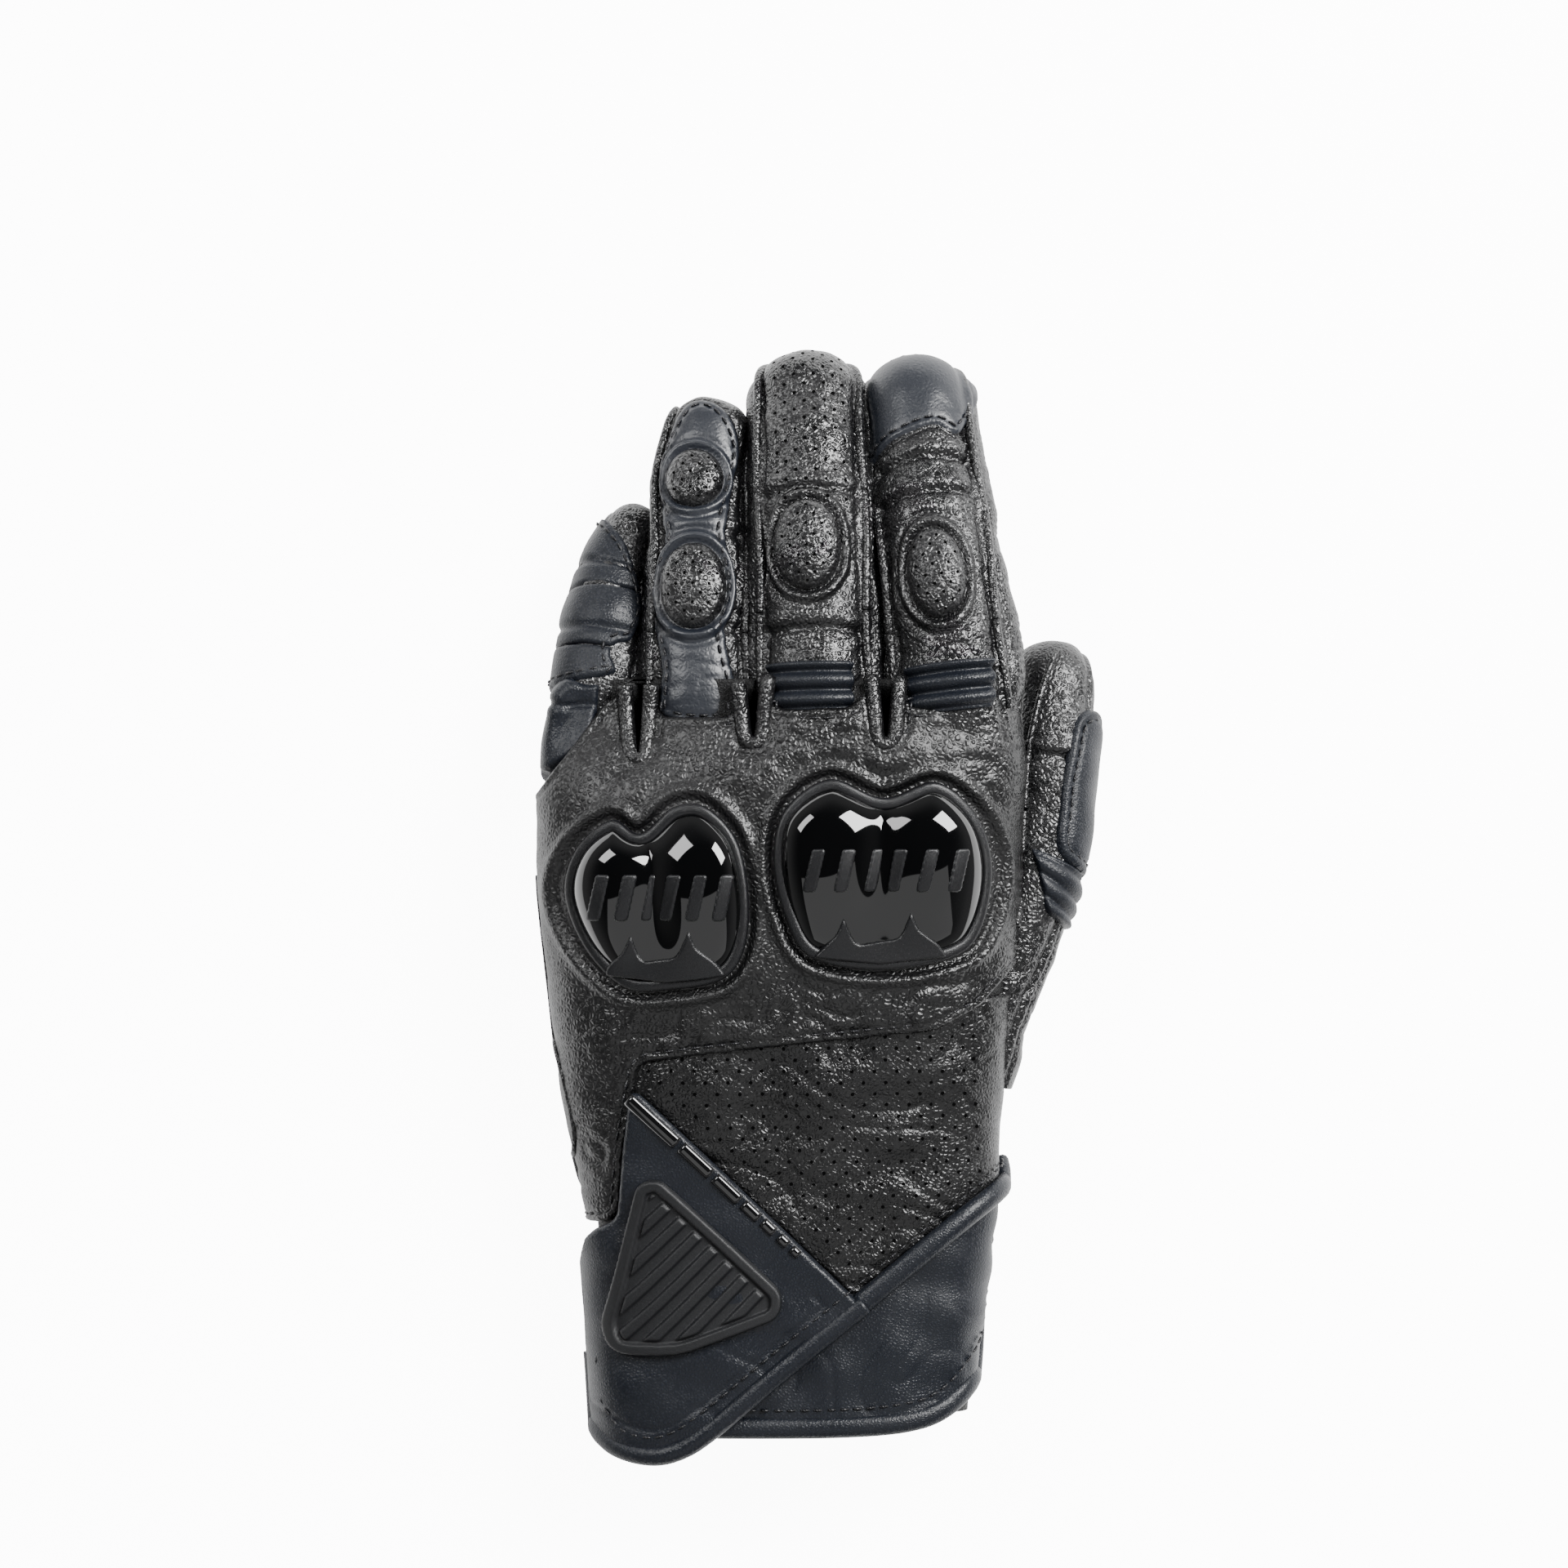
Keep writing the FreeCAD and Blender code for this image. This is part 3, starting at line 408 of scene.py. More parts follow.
def panel(name, surface, outline, low, high, edge=0.8, relief=None, backed=False, cell=CELL):
    """A piece of leather on a surface: square cells cut to the outline, with the rim points moved onto it.

    Its top rises from `low` at the rim to `high` over `edge` millimetres, as a quarter circle.
    A backed piece has an underside too, rolled in the same way about the middle of its thickness."""
    reach = outline.max(axis=0) - outline.min(axis=0)
    start = outline.min(axis=0) - 0.37 * cell
    columns, rows = (np.ceil(reach / cell) + 2).astype(int)
    u, v = np.meshgrid(start[0] + cell * np.arange(columns), start[1] + cell * np.arange(rows))
    depth, near = depth_inside(outline, u, v)
    centre_depth = (depth[:-1, :-1] + depth[1:, :-1] + depth[:-1, 1:] + depth[1:, 1:]) / 4
    kept = centre_depth > 0
    quads = grid_quads(rows, columns, wrap=False)[kept.ravel()]
    uses = np.bincount(quads.ravel(), minlength=rows * columns).reshape(rows, columns)
    rim = ((uses > 0) & (uses < 4)) | (depth <= 0)
    u, v = np.where(rim, near[..., 0], u), np.where(rim, near[..., 1], v)
    depth = np.where(rim, 0, depth)
    used = np.unique(quads)
    new_number = np.full(rows * columns, -1)
    new_number[used] = np.arange(len(used))
    u, v, depth, rim = u.ravel()[used], v.ravel()[used], depth.ravel()[used], rim.ravel()[used]
    quads = new_number[quads]
    if not backed:
        points = surface.at(u, v, panel_top(surface, u, v, depth, low, high, edge, relief))
        return mesh_object(name, points, quads)
    middle = (low + high) / 2
    top = surface.at(u, v, panel_top(surface, u, v, depth, middle, high, edge, relief))
    under = surface.at(u, v, middle - (high - middle) * dome(depth / edge))
    under_number = np.where(rim, np.arange(len(u)), len(u) + np.cumsum(~rim) - 1)
    return mesh_object(name, np.vstack([top, under[~rim]]), np.vstack([quads, under_number[quads][:, ::-1]]))


def swept(name, path, ups, profile, closed=False):
    """A profile carried along a path. A profile point (s, t) lies s across and t up from the path."""
    path, ups = np.asarray(path, float), unit(np.asarray(ups, float))
    if closed:
        along = unit(np.roll(path, -1, axis=0) - np.roll(path, 1, axis=0))
    else:
        along = unit(np.gradient(path, axis=0))
    across = unit(np.cross(along, ups))
    ups = unit(np.cross(across, along))
    profile = np.asarray(profile, float)
    points = path[:, None] + profile[:, 0, None] * across[:, None] + profile[:, 1, None] * ups[:, None]
    rows, columns = points.shape[:2]
    quads = grid_quads(rows, columns, wrap=True)
    first, last = np.arange(columns), (rows - 1) * columns + np.arange(columns)
    if closed:
        quads = np.vstack([quads, np.stack([last, np.roll(last, -1), np.roll(first, -1), first], axis=-1)])
        return mesh_object(name, points.reshape(-1, 3), quads[:, ::-1])
    ends = np.vstack([points[0].mean(axis=0), points[-1].mean(axis=0)])
    total = rows * columns
    caps = np.vstack(
        [
            np.stack([np.roll(first, -1), first, np.full(columns, total)], axis=-1),
            np.stack([last, np.roll(last, -1), np.full(columns, total + 1)], axis=-1),
        ]
    )
    return mesh_object(name, np.vstack([points.reshape(-1, 3), ends]), quads[:, ::-1], caps[:, ::-1])


def oval(half_width, half_height, count=14):
    """An oval profile."""
    angle = np.linspace(0, 2 * np.pi, count, endpoint=False)
    return np.stack([half_width * np.cos(angle), half_height * np.sin(angle)], axis=-1)


def welt(name, surface, line, lift, half_width, half_height, closed=False):
    """A rolled seam along a line of (u, v) points."""
    line = evenly(line, 0.7, closed)
    path = surface.at(line[:, 0], line[:, 1], lift * np.ones(len(line)))
    return swept(name, path, surface.normal(line[:, 0], line[:, 1]), oval(half_width, half_height), closed)


def stitches(name, surface, line, lift, closed=False, pitch=2.9, length=2.1, width=0.62):
    """Thread along a line of (u, v) points: one small capsule every `pitch`, tipped a little at both ends."""
    fine = evenly(line, 0.2, closed)
    path = surface.at(fine[:, 0], fine[:, 1], lift * np.ones(len(fine)))
    run = run_along(path)
    middles = np.arange(pitch / 2, run[-1], pitch)
    number = np.clip(np.searchsorted(run, middles), 1, len(fine) - 2)
    along = unit(path[number + 1] - path[number - 1])
    up = unit(surface.normal(fine[number, 0], fine[number, 1]))
    across = unit(np.cross(along, up))
    turn = np.linspace(0, 2 * np.pi, 6, endpoint=False)
    ends = np.array((-1, -0.8, 0, 0.8, 1))
    thick = np.array((0.15, 0.75, 1, 0.75, 0.15))
    sag = np.array((-0.9, -0.35, 0, -0.35, -0.9)) * width / 2
    local = np.stack(
        [
            np.repeat(ends * length / 2, 6),
            np.outer(thick, np.cos(turn)).ravel() * width / 2,
            np.outer(thick, np.sin(turn)).ravel() * width / 2 + np.repeat(sag, 6),
        ],
        axis=-1,
    )
    axes = np.stack([along, across, up], axis=1)
    points = path[number][:, None] + local @ axes
    quads = grid_quads(5, 6, wrap=True)
    fans = [(0, j, j + 1) for j in range(1, 5)] + [(24, 25 + j, 24 + j) for j in range(1, 5)]
    shift = (np.arange(len(middles)) * len(local))[:, None, None]
    quads, fans = (quads + shift).reshape(-1, 4), (np.array(fans) + shift).reshape(-1, 3)
    return mesh_object(name, points.reshape(-1, 3), quads, fans)


def staggered(outline, across, along):
    """Grid points over an outline's box, every second row shifted by half the distance across."""
    low, high = outline.min(axis=0), outline.max(axis=0)
    u, v = np.meshgrid(np.arange(low[0], high[0], across), np.arange(low[1], high[1], along))
    return (u + across / 2 * (np.arange(len(v)) % 2)[:, None]).ravel(), v.ravel()


def punched(name, surface, u, v, lift, radius):
    """Painted shade of punched holes: dark eight-sided discs over each hole's mouth, 0.05 proud at the rim and
    0.08 at the middle, standing in for the shade inside the holes.
    """
    up = surface.normal(u, v)
    across = unit(np.cross(up, (0.0, 1.0, 0.0)))
    along = np.cross(across, up)
    turn = np.linspace(0, 2 * np.pi, 8, endpoint=False)[:, None, None]
    rim = surface.at(u, v, lift + 0.05) + radius * (np.cos(turn) * across + np.sin(turn) * along)
    points = np.concatenate([surface.at(u, v, lift + 0.08)[:, None], rim.transpose(1, 0, 2)], axis=1)
    fan = np.array([[0, 1 + j, 1 + (j + 1) % 8] for j in range(8)])
    faces = (fan + 9 * np.arange(len(u))[:, None, None]).reshape(-1, 3)[:, ::-1]
    return mesh_object(name, points.reshape(-1, 3), np.empty((0, 4), int), faces)


def settle(made, material, ride, *nodes, slot=None, fill=None):
    """Gives a piece its material, parents it to the body it rides on, or only bakes its transform when given the
    pair of bodies it would bend between, and hides the CAD nodes it stands for. Its slot is not used."""
    made.data.materials.append(material)
    if isinstance(ride, str):
        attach(made, ride)
    else:
        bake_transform(made)
    if nodes:
        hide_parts(*nodes)


# ---------------------------------------------------------------- leather, plastic and thread


def new_group(name, inputs, outputs):
    """An empty shader node group with float inputs (name, usual value) and outputs."""
    tree = bpy.data.node_groups.new(name, "ShaderNodeTree")
    for key, value in inputs:
        socket = tree.interface.new_socket(key, in_out="INPUT", socket_type="NodeSocketFloat")
        socket.default_value = value
    for key in outputs:
        tree.interface.new_socket(key, in_out="OUTPUT", socket_type="NodeSocketFloat")
    return tree, tree.nodes.new("NodeGroupInput"), tree.nodes.new("NodeGroupOutput")


def feed(tree, socket, value):
    """Links a socket to another, or sets it to a number."""
    if isinstance(value, bpy.types.NodeSocket):
        tree.links.new(value, socket)
    else:
        socket.default_value = value


def calc(tree, operation, *values):
    """A Math node's output."""
    node = tree.nodes.new("ShaderNodeMath")
    node.operation = operation
    for socket, value in zip(node.inputs, values):
        feed(tree, socket, value)
    return node.outputs[0]


def between(tree, value, low, high, to_low=0.0, to_high=1.0):
    """The value mapped smoothly from low..high to to_low..to_high."""
    node = tree.nodes.new("ShaderNodeMapRange")
    node.interpolation_type = "SMOOTHSTEP"
    ends = {"From Min": low, "From Max": high, "To Min": to_low, "To Max": to_high}
    for key, number in {"Value": value, **ends}.items():
        feed(tree, node.inputs[key], number)
    return node.outputs[0]


def pebble_group():
    """Leather grain: raised cells of a Voronoi pattern, warped by noise, with finer pores on top."""
    tree, given, result = new_group("pebble_grain", [("Size", 1.0), ("Pores", 0.3)], ["Height"])
    place = tree.nodes.new("ShaderNodeTexCoord").outputs["Object"]
    scaled = tree.nodes.new("ShaderNodeVectorMath")
    scaled.operation = "SCALE"
    feed(tree, scaled.inputs[0], place)
    feed(tree, scaled.inputs["Scale"], calc(tree, "DIVIDE", 1000.0, given.outputs["Size"]))
    warp = tree.nodes.new("ShaderNodeTexNoise")
    feed(tree, warp.inputs["Vector"], scaled.outputs[0])
    feed(tree, warp.inputs["Scale"], 0.45)
    shifted = tree.nodes.new("ShaderNodeMixRGB")
    shifted.blend_type = "ADD"
    feed(tree, shifted.inputs[0], 0.9)
    feed(tree, shifted.inputs[1], scaled.outputs[0])
    feed(tree, shifted.inputs[2], warp.outputs["Color"])
    cells = tree.nodes.new("ShaderNodeTexVoronoi")
    cells.feature = "DISTANCE_TO_EDGE"
    feed(tree, cells.inputs["Vector"], shifted.outputs[0])
    feed(tree, cells.inputs["Scale"], 1.0)
    pores = tree.nodes.new("ShaderNodeTexNoise")
    feed(tree, pores.inputs["Vector"], scaled.outputs[0])
    feed(tree, pores.inputs["Scale"], 3.1)
    feed(tree, pores.inputs["Detail"], 3.0)
    raised = between(tree, cells.outputs["Distance"], 0.0, 0.42)
    fine = calc(tree, "MULTIPLY", pores.outputs[0], given.outputs["Pores"])
    feed(tree, result.inputs["Height"], calc(tree, "ADD", raised, fine))
    return tree


def wrinkle_group():
    """Fine wrinkles: ridges of a warped noise, 1 - |2n - 1| to the fourth power."""
    tree, given, result = new_group("fine_wrinkles", [("Size", 2.2)], ["Height"])
    noise = tree.nodes.new("ShaderNodeTexNoise")
    feed(tree, noise.inputs["Vector"], tree.nodes.new("ShaderNodeTexCoord").outputs["Object"])
    feed(tree, noise.inputs["Scale"], calc(tree, "DIVIDE", 1000.0, given.outputs["Size"]))
    feed(tree, noise.inputs["Detail"], 2.0)
    feed(tree, noise.inputs["Distortion"], 0.9)
    off_centre = calc(tree, "ABSOLUTE", calc(tree, "MULTIPLY_ADD", noise.outputs[0], 4.0, -2.0))
    ridge = calc(tree, "SUBTRACT", 1.0, calc(tree, "MINIMUM", off_centre, 1.0))
    feed(tree, result.inputs["Height"], calc(tree, "POWER", ridge, 2.0))
    return tree


def mottle_group():
    """Slow patches of handling, 0 to 1."""
    tree, given, result = new_group("handling", [("Size", 12.0)], ["Patch"])
    place = tree.nodes.new("ShaderNodeTexCoord").outputs["Object"]
    noise = tree.nodes.new("ShaderNodeTexNoise")
    feed(tree, noise.inputs["Vector"], place)
    feed(tree, noise.inputs["Scale"], calc(tree, "DIVIDE", 1000.0, given.outputs["Size"]))
    feed(tree, noise.inputs["Detail"], 4.0)
    feed(tree, result.inputs["Patch"], between(tree, noise.outputs[0], 0.3, 0.7))
    return tree


PEBBLE, MOTTLE, WRINKLES = pebble_group(), mottle_group(), wrinkle_group()


def grouped(tree, group, **values):
    """A node of a shared group with its inputs set."""
    node = tree.nodes.new("ShaderNodeGroup")
    node.node_tree = group
    for key, value in values.items():
        feed(tree, node.inputs[key], value)
    return node.outputs[0]


def blank_material(name):
    """A node material with only its Principled shader, and that shader."""
    made = bpy.data.materials.new(name)
    made.use_nodes = True
    return made, made.node_tree, made.node_tree.nodes["Principled BSDF"]


def colour_mix(tree, share, first, second):
    """A colour between two, by share."""
    node = tree.nodes.new("ShaderNodeMixRGB")
    feed(tree, node.inputs[0], share)
    for socket, value in zip(node.inputs[1:3], (first, second)):
        feed(tree, socket, value if isinstance(value, bpy.types.NodeSocket) else (*value, 1.0))
    return node.outputs[0]


def bumped(tree, shader, height, distance, strength=1.0):
    """Bends the shader's normal by a height in millimetres times `distance`."""
    node = tree.nodes.new("ShaderNodeBump")
    node.inputs["Strength"].default_value = strength
    node.inputs["Distance"].default_value = distance * MM
    feed(tree, node.inputs["Height"], height)
    feed(tree, shader.inputs["Normal"], node.outputs[0])


def leather(name, colour, rough, grain, depth, gloss=0.5, second=None, wrinkled=0.0):
    """Leather of one colour, with painted shade: the colour is darkened down to 0.62 of itself where the grain,
    its pores and the fine wrinkles lie low. `second` is (colour, roughness) for where the mesh's "smooth" mask is
    1, and `wrinkled` is how deep the fine wrinkles are beside the grain."""
    made, tree, shader = blank_material(name)
    shader.inputs["Specular IOR Level"].default_value = gloss
    shader.inputs["IOR"].default_value = 1.5
    height = grouped(tree, PEBBLE, Size=grain, Pores=0.08)
    if wrinkled:
        fine = calc(tree, "MULTIPLY", grouped(tree, WRINKLES, Size=2.4), wrinkled)
        height = calc(tree, "SUBTRACT", height, fine)
    patch = grouped(tree, MOTTLE, Size=16.0)
    roughness = calc(tree, "ADD", rough - 0.05, calc(tree, "MULTIPLY", patch, 0.12))
    # painted shade: the colour runs from 0.62 of itself in the grooves of the grain and wrinkles up to full on
    # their raised parts
    dark = [0.62 * value for value in colour]
    tone = colour_mix(tree, height, dark, colour)
    if second is not None:
        mask = tree.nodes.new("ShaderNodeAttribute")
        mask.attribute_name = "smooth"
        share = between(tree, mask.outputs["Fac"], 0.35, 0.65)
        tone = colour_mix(tree, share, tone, second[0])
        roughness = between(tree, share, 0.0, 1.0, roughness, second[1])
        height = calc(tree, "MULTIPLY", height, between(tree, share, 0.0, 1.0, 1.0, 0.22))
    feed(tree, shader.inputs["Base Color"], tone)
    feed(tree, shader.inputs["Roughness"], roughness)
    bumped(tree, shader, height, depth)
    return made


def plastic(name, colour, rough, coat=0.0, texture=0.0, gloss=0.5):
    """Moulded plastic or rubber, with a fine spark-eroded texture if asked."""
    made, tree, shader = blank_material(name)
    shader.inputs["Base Color"].default_value = (*colour, 1.0)
    shader.inputs["Roughness"].default_value = rough
    shader.inputs["Specular IOR Level"].default_value = gloss
    shader.inputs["Coat Weight"].default_value = coat
    shader.inputs["Coat Roughness"].default_value = 0.02
    if texture:
        bumped(tree, shader, grouped(tree, PEBBLE, Size=0.35, Pores=0.8), texture)
    return made


def thread_material():
    """Bonded nylon thread: two plies twisted, drawn as a slanted wave."""
    made, tree, shader = blank_material("black_thread")
    shader.inputs["Base Color"].default_value = (0.005, 0.005, 0.007, 1.0)
    shader.inputs["Roughness"].default_value = 0.42
    wave = tree.nodes.new("ShaderNodeTexWave")
    wave.bands_direction = "DIAGONAL"
    feed(tree, wave.inputs["Vector"], tree.nodes.new("ShaderNodeTexCoord").outputs["Object"])
    wave.inputs["Scale"].default_value = 900.0
    bumped(tree, shader, wave.outputs["Fac"], 0.06)
    return made


BLACK, SLATE = (0.0042, 0.0042, 0.005), (0.0065, 0.0088, 0.0145)
WARM_BLACK = (0.006, 0.006, 0.0065)
FINGER_LEATHER = leather(
    "finger_leather", BLACK, rough=0.28, grain=1.05, depth=0.13, gloss=0.8, second=(SLATE, 0.4), wrinkled=0.3
)
BACK_LEATHER = leather(
    "back_leather", (0.0052, 0.0052, 0.0057), rough=0.34, grain=1.1, depth=0.115, gloss=0.6, wrinkled=0.12
)
WRIST_LEATHER = leather(
    "wrist_leather", (0.004, 0.004, 0.0045), rough=0.32, grain=0.95, depth=0.1, gloss=0.6, wrinkled=0.2
)
PALM_LEATHER = leather("palm_leather", WARM_BLACK, rough=0.55, grain=0.7, depth=0.1, gloss=0.35)
SMOOTH_LEATHER = leather("smooth_leather", SLATE, rough=0.4, grain=0.7, depth=0.05, gloss=0.42)
HOOK_LOOP = leather("hook_loop", WARM_BLACK, rough=0.85, grain=0.45, depth=0.3, gloss=0.15)
GUARD_GLOSS = plastic("guard_gloss", (0.0015, 0.0016, 0.0018), 0.045, coat=0.6)
GUARD_FRAME = plastic("guard_frame", (0.004, 0.0042, 0.0052), 0.36, texture=0.02)
INSERT_GLOSS = plastic("insert_gloss", (0.004, 0.004, 0.0045), 0.07, coat=0.8)
PAD_RUBBER = plastic("pad_rubber", (0.0045, 0.005, 0.0062), 0.5, texture=0.02)
# painted shade: near-black, rough, low-specular discs stand in for the shade inside punched holes
HOLE_SHADE = plastic("painted_hole_shade", (0.0006, 0.0006, 0.0007), 0.9, gloss=0.05)
THREAD = thread_material()

# ---------------------------------------------------------------- the hand's sleeve

SKIN_DEPTH = 1.5  # the skin lies this far inside the CAD's outer form, and panels lie on it
HAND_SECTIONS = (  # along the pattern: left, right, lowest, highest
    (-122.0, -46.3, 33.6, 4.0, 35.0),
    (-112.0, -47.2, 34.8, 3.6, 36.0),
    (-90.0, -48.7, 37.2, 4.0, 37.0),
    (-66.0, -50.4, 40.0, 4.0, 38.2),
    (-50.0, -53.9, 40.6, 3.0, 39.6),
    (-36.0, -56.4, 41.6, 1.8, 41.5),
    (-18.0, -58.4, 43.2, 1.6, 44.2),
    (6.0, -61.0, 44.3, 4.0, 45.4),
    (30.0, -60.8, 44.3, 8.5, 44.9),
    (44.0, -59.2, 43.6, 14.0, 43.2),
    (54.0, -56.6, 41.8, 19.0, 40.2),
)
HAND_PITCH = 0.5  # between the hand's rows, and across the table of its heights
HAND_ROWS = np.arange(-126.0, 50.6, HAND_PITCH)
ROOT_RISE = {"little": 8.2, "ring": 10.2, "middle": 11.8, "index": 11.8}  # each top over its root joint


def hand_sleeve():
    """The hand from its open cuff to the finger roots, whose last rows draw in a little."""
    table, rows = np.array(HAND_SECTIONS), HAND_ROWS
    left, right, low, high = eased(table[:, 0] + HOME[1], table[:, 1:], rows, blur=4).T
    left, right, low, high = left + SKIN_DEPTH, right - SKIN_DEPTH, low + SKIN_DEPTH, high - SKIN_DEPTH
    drawn_in = 0.9 + 0.1 * dome((rows[-1] - rows) / 5)
    centres = np.stack([(left + right) / 2 + HOME[0], rows, (low + high) / 2], axis=-1)
    sides, ups = np.zeros_like(centres), np.zeros_like(centres)
    sides[:, 0], ups[:, 2] = 1, 1
    half_widths, half_heights = drawn_in * (right - left) / 2, drawn_in * (high - low) / 2
    made = Sleeve(rows, centres, sides, ups, half_widths, half_heights, power=3.0)
    roots = np.array([joint_at(f"{finger}_base_bend") for finger in ROOT_RISE])
    tops = roots[:, 2] + list(ROOT_RISE.values())
    xs, ys, zs = made.points[..., 0], made.points[..., 1], made.points[..., 2]
    middle = centres[:, None, 2]
    edge_to_edge = [roots[0, 0] - 11, *roots[:, 0], 43.0]
    wanted = eased(edge_to_edge, [tops[0] - 3.0, *tops, tops[3] - 2.0], xs.ravel(), blur=5)
    share = (wanted[:, 0].reshape(xs.shape) - 0.4 - middle) / np.maximum(zs - middle, 4.0)
    near_roots = step((ys - 20) / 26) * step((zs - middle) / 8)
    made.points[..., 2] = middle + (zs - middle) * (1 + near_roots * (np.clip(share, 0.3, 1.06) - 1))
    made.face_out()
    return made


HAND = hand_sleeve()
ACROSS = np.arange(-66.0, 56.0, HAND_PITCH)


def seen_row(row):
    """The heights along one section of the hand, from its left edge to its right."""
    first, last = np.argmin(row[:, 0]), np.argmax(row[:, 0])
    return np.interp(ACROSS, row[first : last + 1, 0], row[first : last + 1, 2])


TOPS = np.stack([seen_row(row) for row in HAND.points])


def hand_top(x, y):
    """The height of the hand's sleeve seen from above."""
    return read_table(TOPS, (y - HAND.rows[0]) / HAND_PITCH, (x - ACROSS[0]) / HAND_PITCH)


def on_hand(corners):
    """A line on the cutting pattern as (u, v) points on the hand."""
    return HAND.laid(np.asarray(corners, float) + HOME)


def hand_curve(corners):
    """The open curve through corners on the cutting pattern, laid on the hand."""
    return on_hand(curve(corners, closed=False))


def hand_outline(corners, radius):
    """The closed outline with rounded corners on the cutting pattern, laid on the hand."""
    return on_hand(rounded(corners, radius))


# ---------------------------------------------------------------- finger sleeves


class Digit:
    """One finger's sleeve, where it is cut in lengths, and how each length bends."""

    def __init__(self, name, parts, path, half_widths, flatness, reaches):
        bodies = ["hand", *(f"{name}_{part}" for part in parts)]
        joints = [f"{body}_bend" for body in bodies[1:]]
        path = np.asarray(path, float)
        run = run_along(path)
        along = np.arange(0, run[-1] - 0.02, 0.1)
        centre = eased(run, path, along, blur=3.0)
        tangent = unit(np.gradient(centre, axis=0))
        side = unit(-np.array(JOINTS[joints[0]]["axis"]))
        width = eased(run, half_widths, along, blur=2.5)[:, 0]
        tip = 1.15 * half_widths[-1]
        close = (1 - np.clip((along - run[-1] + tip) / tip, 0, 1) ** 2.5) ** (1 / 2.5)
        width = np.maximum(width * close, 0.15)
        pace = np.hypot(np.gradient(along), np.gradient(width))
        arc = np.cumsum(pace) - pace[0]
        rows = np.arange(0, arc[-1], 0.5)
        centre, tangent = [
            np.stack([np.interp(rows, arc, column) for column in table.T], axis=-1) for table in (centre, tangent)
        ]
        tangent = unit(tangent)
        sides = unit(np.cross(tangent, np.cross(side, tangent)))
        width = np.interp(rows, arc, width)
        self.parts = parts
        ups = np.cross(sides, tangent)
        self.sleeve = Sleeve(rows, centre, sides, ups, width, width * flatness, power=2.25)
        self.length = rows[-1]
        self.joint_rows, self.bends = [], []
        for start, stop, joint, reach in zip(bodies, bodies[1:], joints, reaches):
            place = joint_at(joint)
            nearest = int(np.argmin(np.linalg.norm(centre - place, axis=1)))
            self.joint_rows.append(rows[nearest])
            forward = reach * tangent[nearest]
            self.bends.append((start, stop, place - forward, place + forward))
        halves = [(a + b) / 2 for a, b in zip(self.joint_rows, self.joint_rows[1:])]
        self.cuts = [0.0, *halves, self.length]

    def lengths(self):
        """The number, first row and last row of each length between cuts."""
        return [(number, *ends) for number, ends in enumerate(zip(self.cuts, self.cuts[1:]))]


TIP_LEAN = {"little": 4.4, "ring": 3.2, "middle": 0.0, "index": 0.0}  # towards the thumb side


def finger_path(name, buried):
    """The finger's middle line: from inside the hand through its three joints to its tip."""
    root, mid, tip = [joint_at(f"{name}_{part}_bend") for part in ("base", "mid", "tip")]
    axis = JOINTS[f"{name}_base_bend"]["axis"]
    forward = unit(np.array((axis[1], -axis[0], 0.0)))
    low, high = node_box(f"{name}_tip_palm")[0], node_box(f"{name}_tip_back")[1]
    end = tip + forward * (high[1] - tip[1]) / forward[1]
    end[2] = low[2] + 8.2  # the tip's middle over its lowest point
    end[0] += TIP_LEAN[name]
    return [root - buried * forward, root, mid, tip, end]


FINGER_WIDTHS = {  # half widths: inside the hand, at the three joints, at the tip; length inside the hand
    "little": (9.0, 9.8, 9.3, 7.9, 6.5, 17.0),
    "ring": (10.6, 11.2, 11.1, 10.2, 8.5, 14.0),
    "middle": (11.6, 12.4, 12.5, 12.0, 11.4, 14.0),
    "index": (11.6, 12.4, 12.2, 11.5, 10.9, 14.0),
}
DIGITS = {}
for finger, (*widths, buried) in FINGER_WIDTHS.items():
    line = finger_path(finger, buried)
    first, second = np.linalg.norm(line[2] - line[1]), np.linalg.norm(line[3] - line[2])
    reaches = [min(12.0, 0.46 * first), min(10.0, 0.46 * min(first, second)), min(8.5, 0.46 * second)]
    DIGITS[finger] = Digit(finger, ("base", "mid", "tip"), line, widths, 0.94, reaches)

THUMB_ROOT, THUMB_TIP = joint_at("thumb_base_bend"), joint_at("thumb_tip_bend")
FROM_ROOT = ((-21, -42, -2), (-15, -24, 0), (-7.5, -10, 0), (-2.5, 2, 0), (-0.4, 16, -1.2))
FROM_TIP = ((0.2, 4, -1.2), (0.4, 15, -4.6), (-0.2, 25.4, -8.4))
THUMB_PATH = [*(THUMB_ROOT + offset for offset in FROM_ROOT), *(THUMB_TIP + offset for offset in FROM_TIP)]
THUMB_WIDTHS = (13.0, 11.6, 10.2, 9.4, 9.1, 9.5, 8.9, 7.9)
DIGITS["thumb"] = Digit("thumb", ("base", "tip"), THUMB_PATH, THUMB_WIDTHS, 0.96, [11.0, 10.5])


def on_digit(name, corners):
    """A line on the cutting pattern as (u, v) points on a finger."""
    return DIGITS[name].sleeve.laid(np.asarray(corners, float) + HOME)


# ---------------------------------------------------------------- fingers

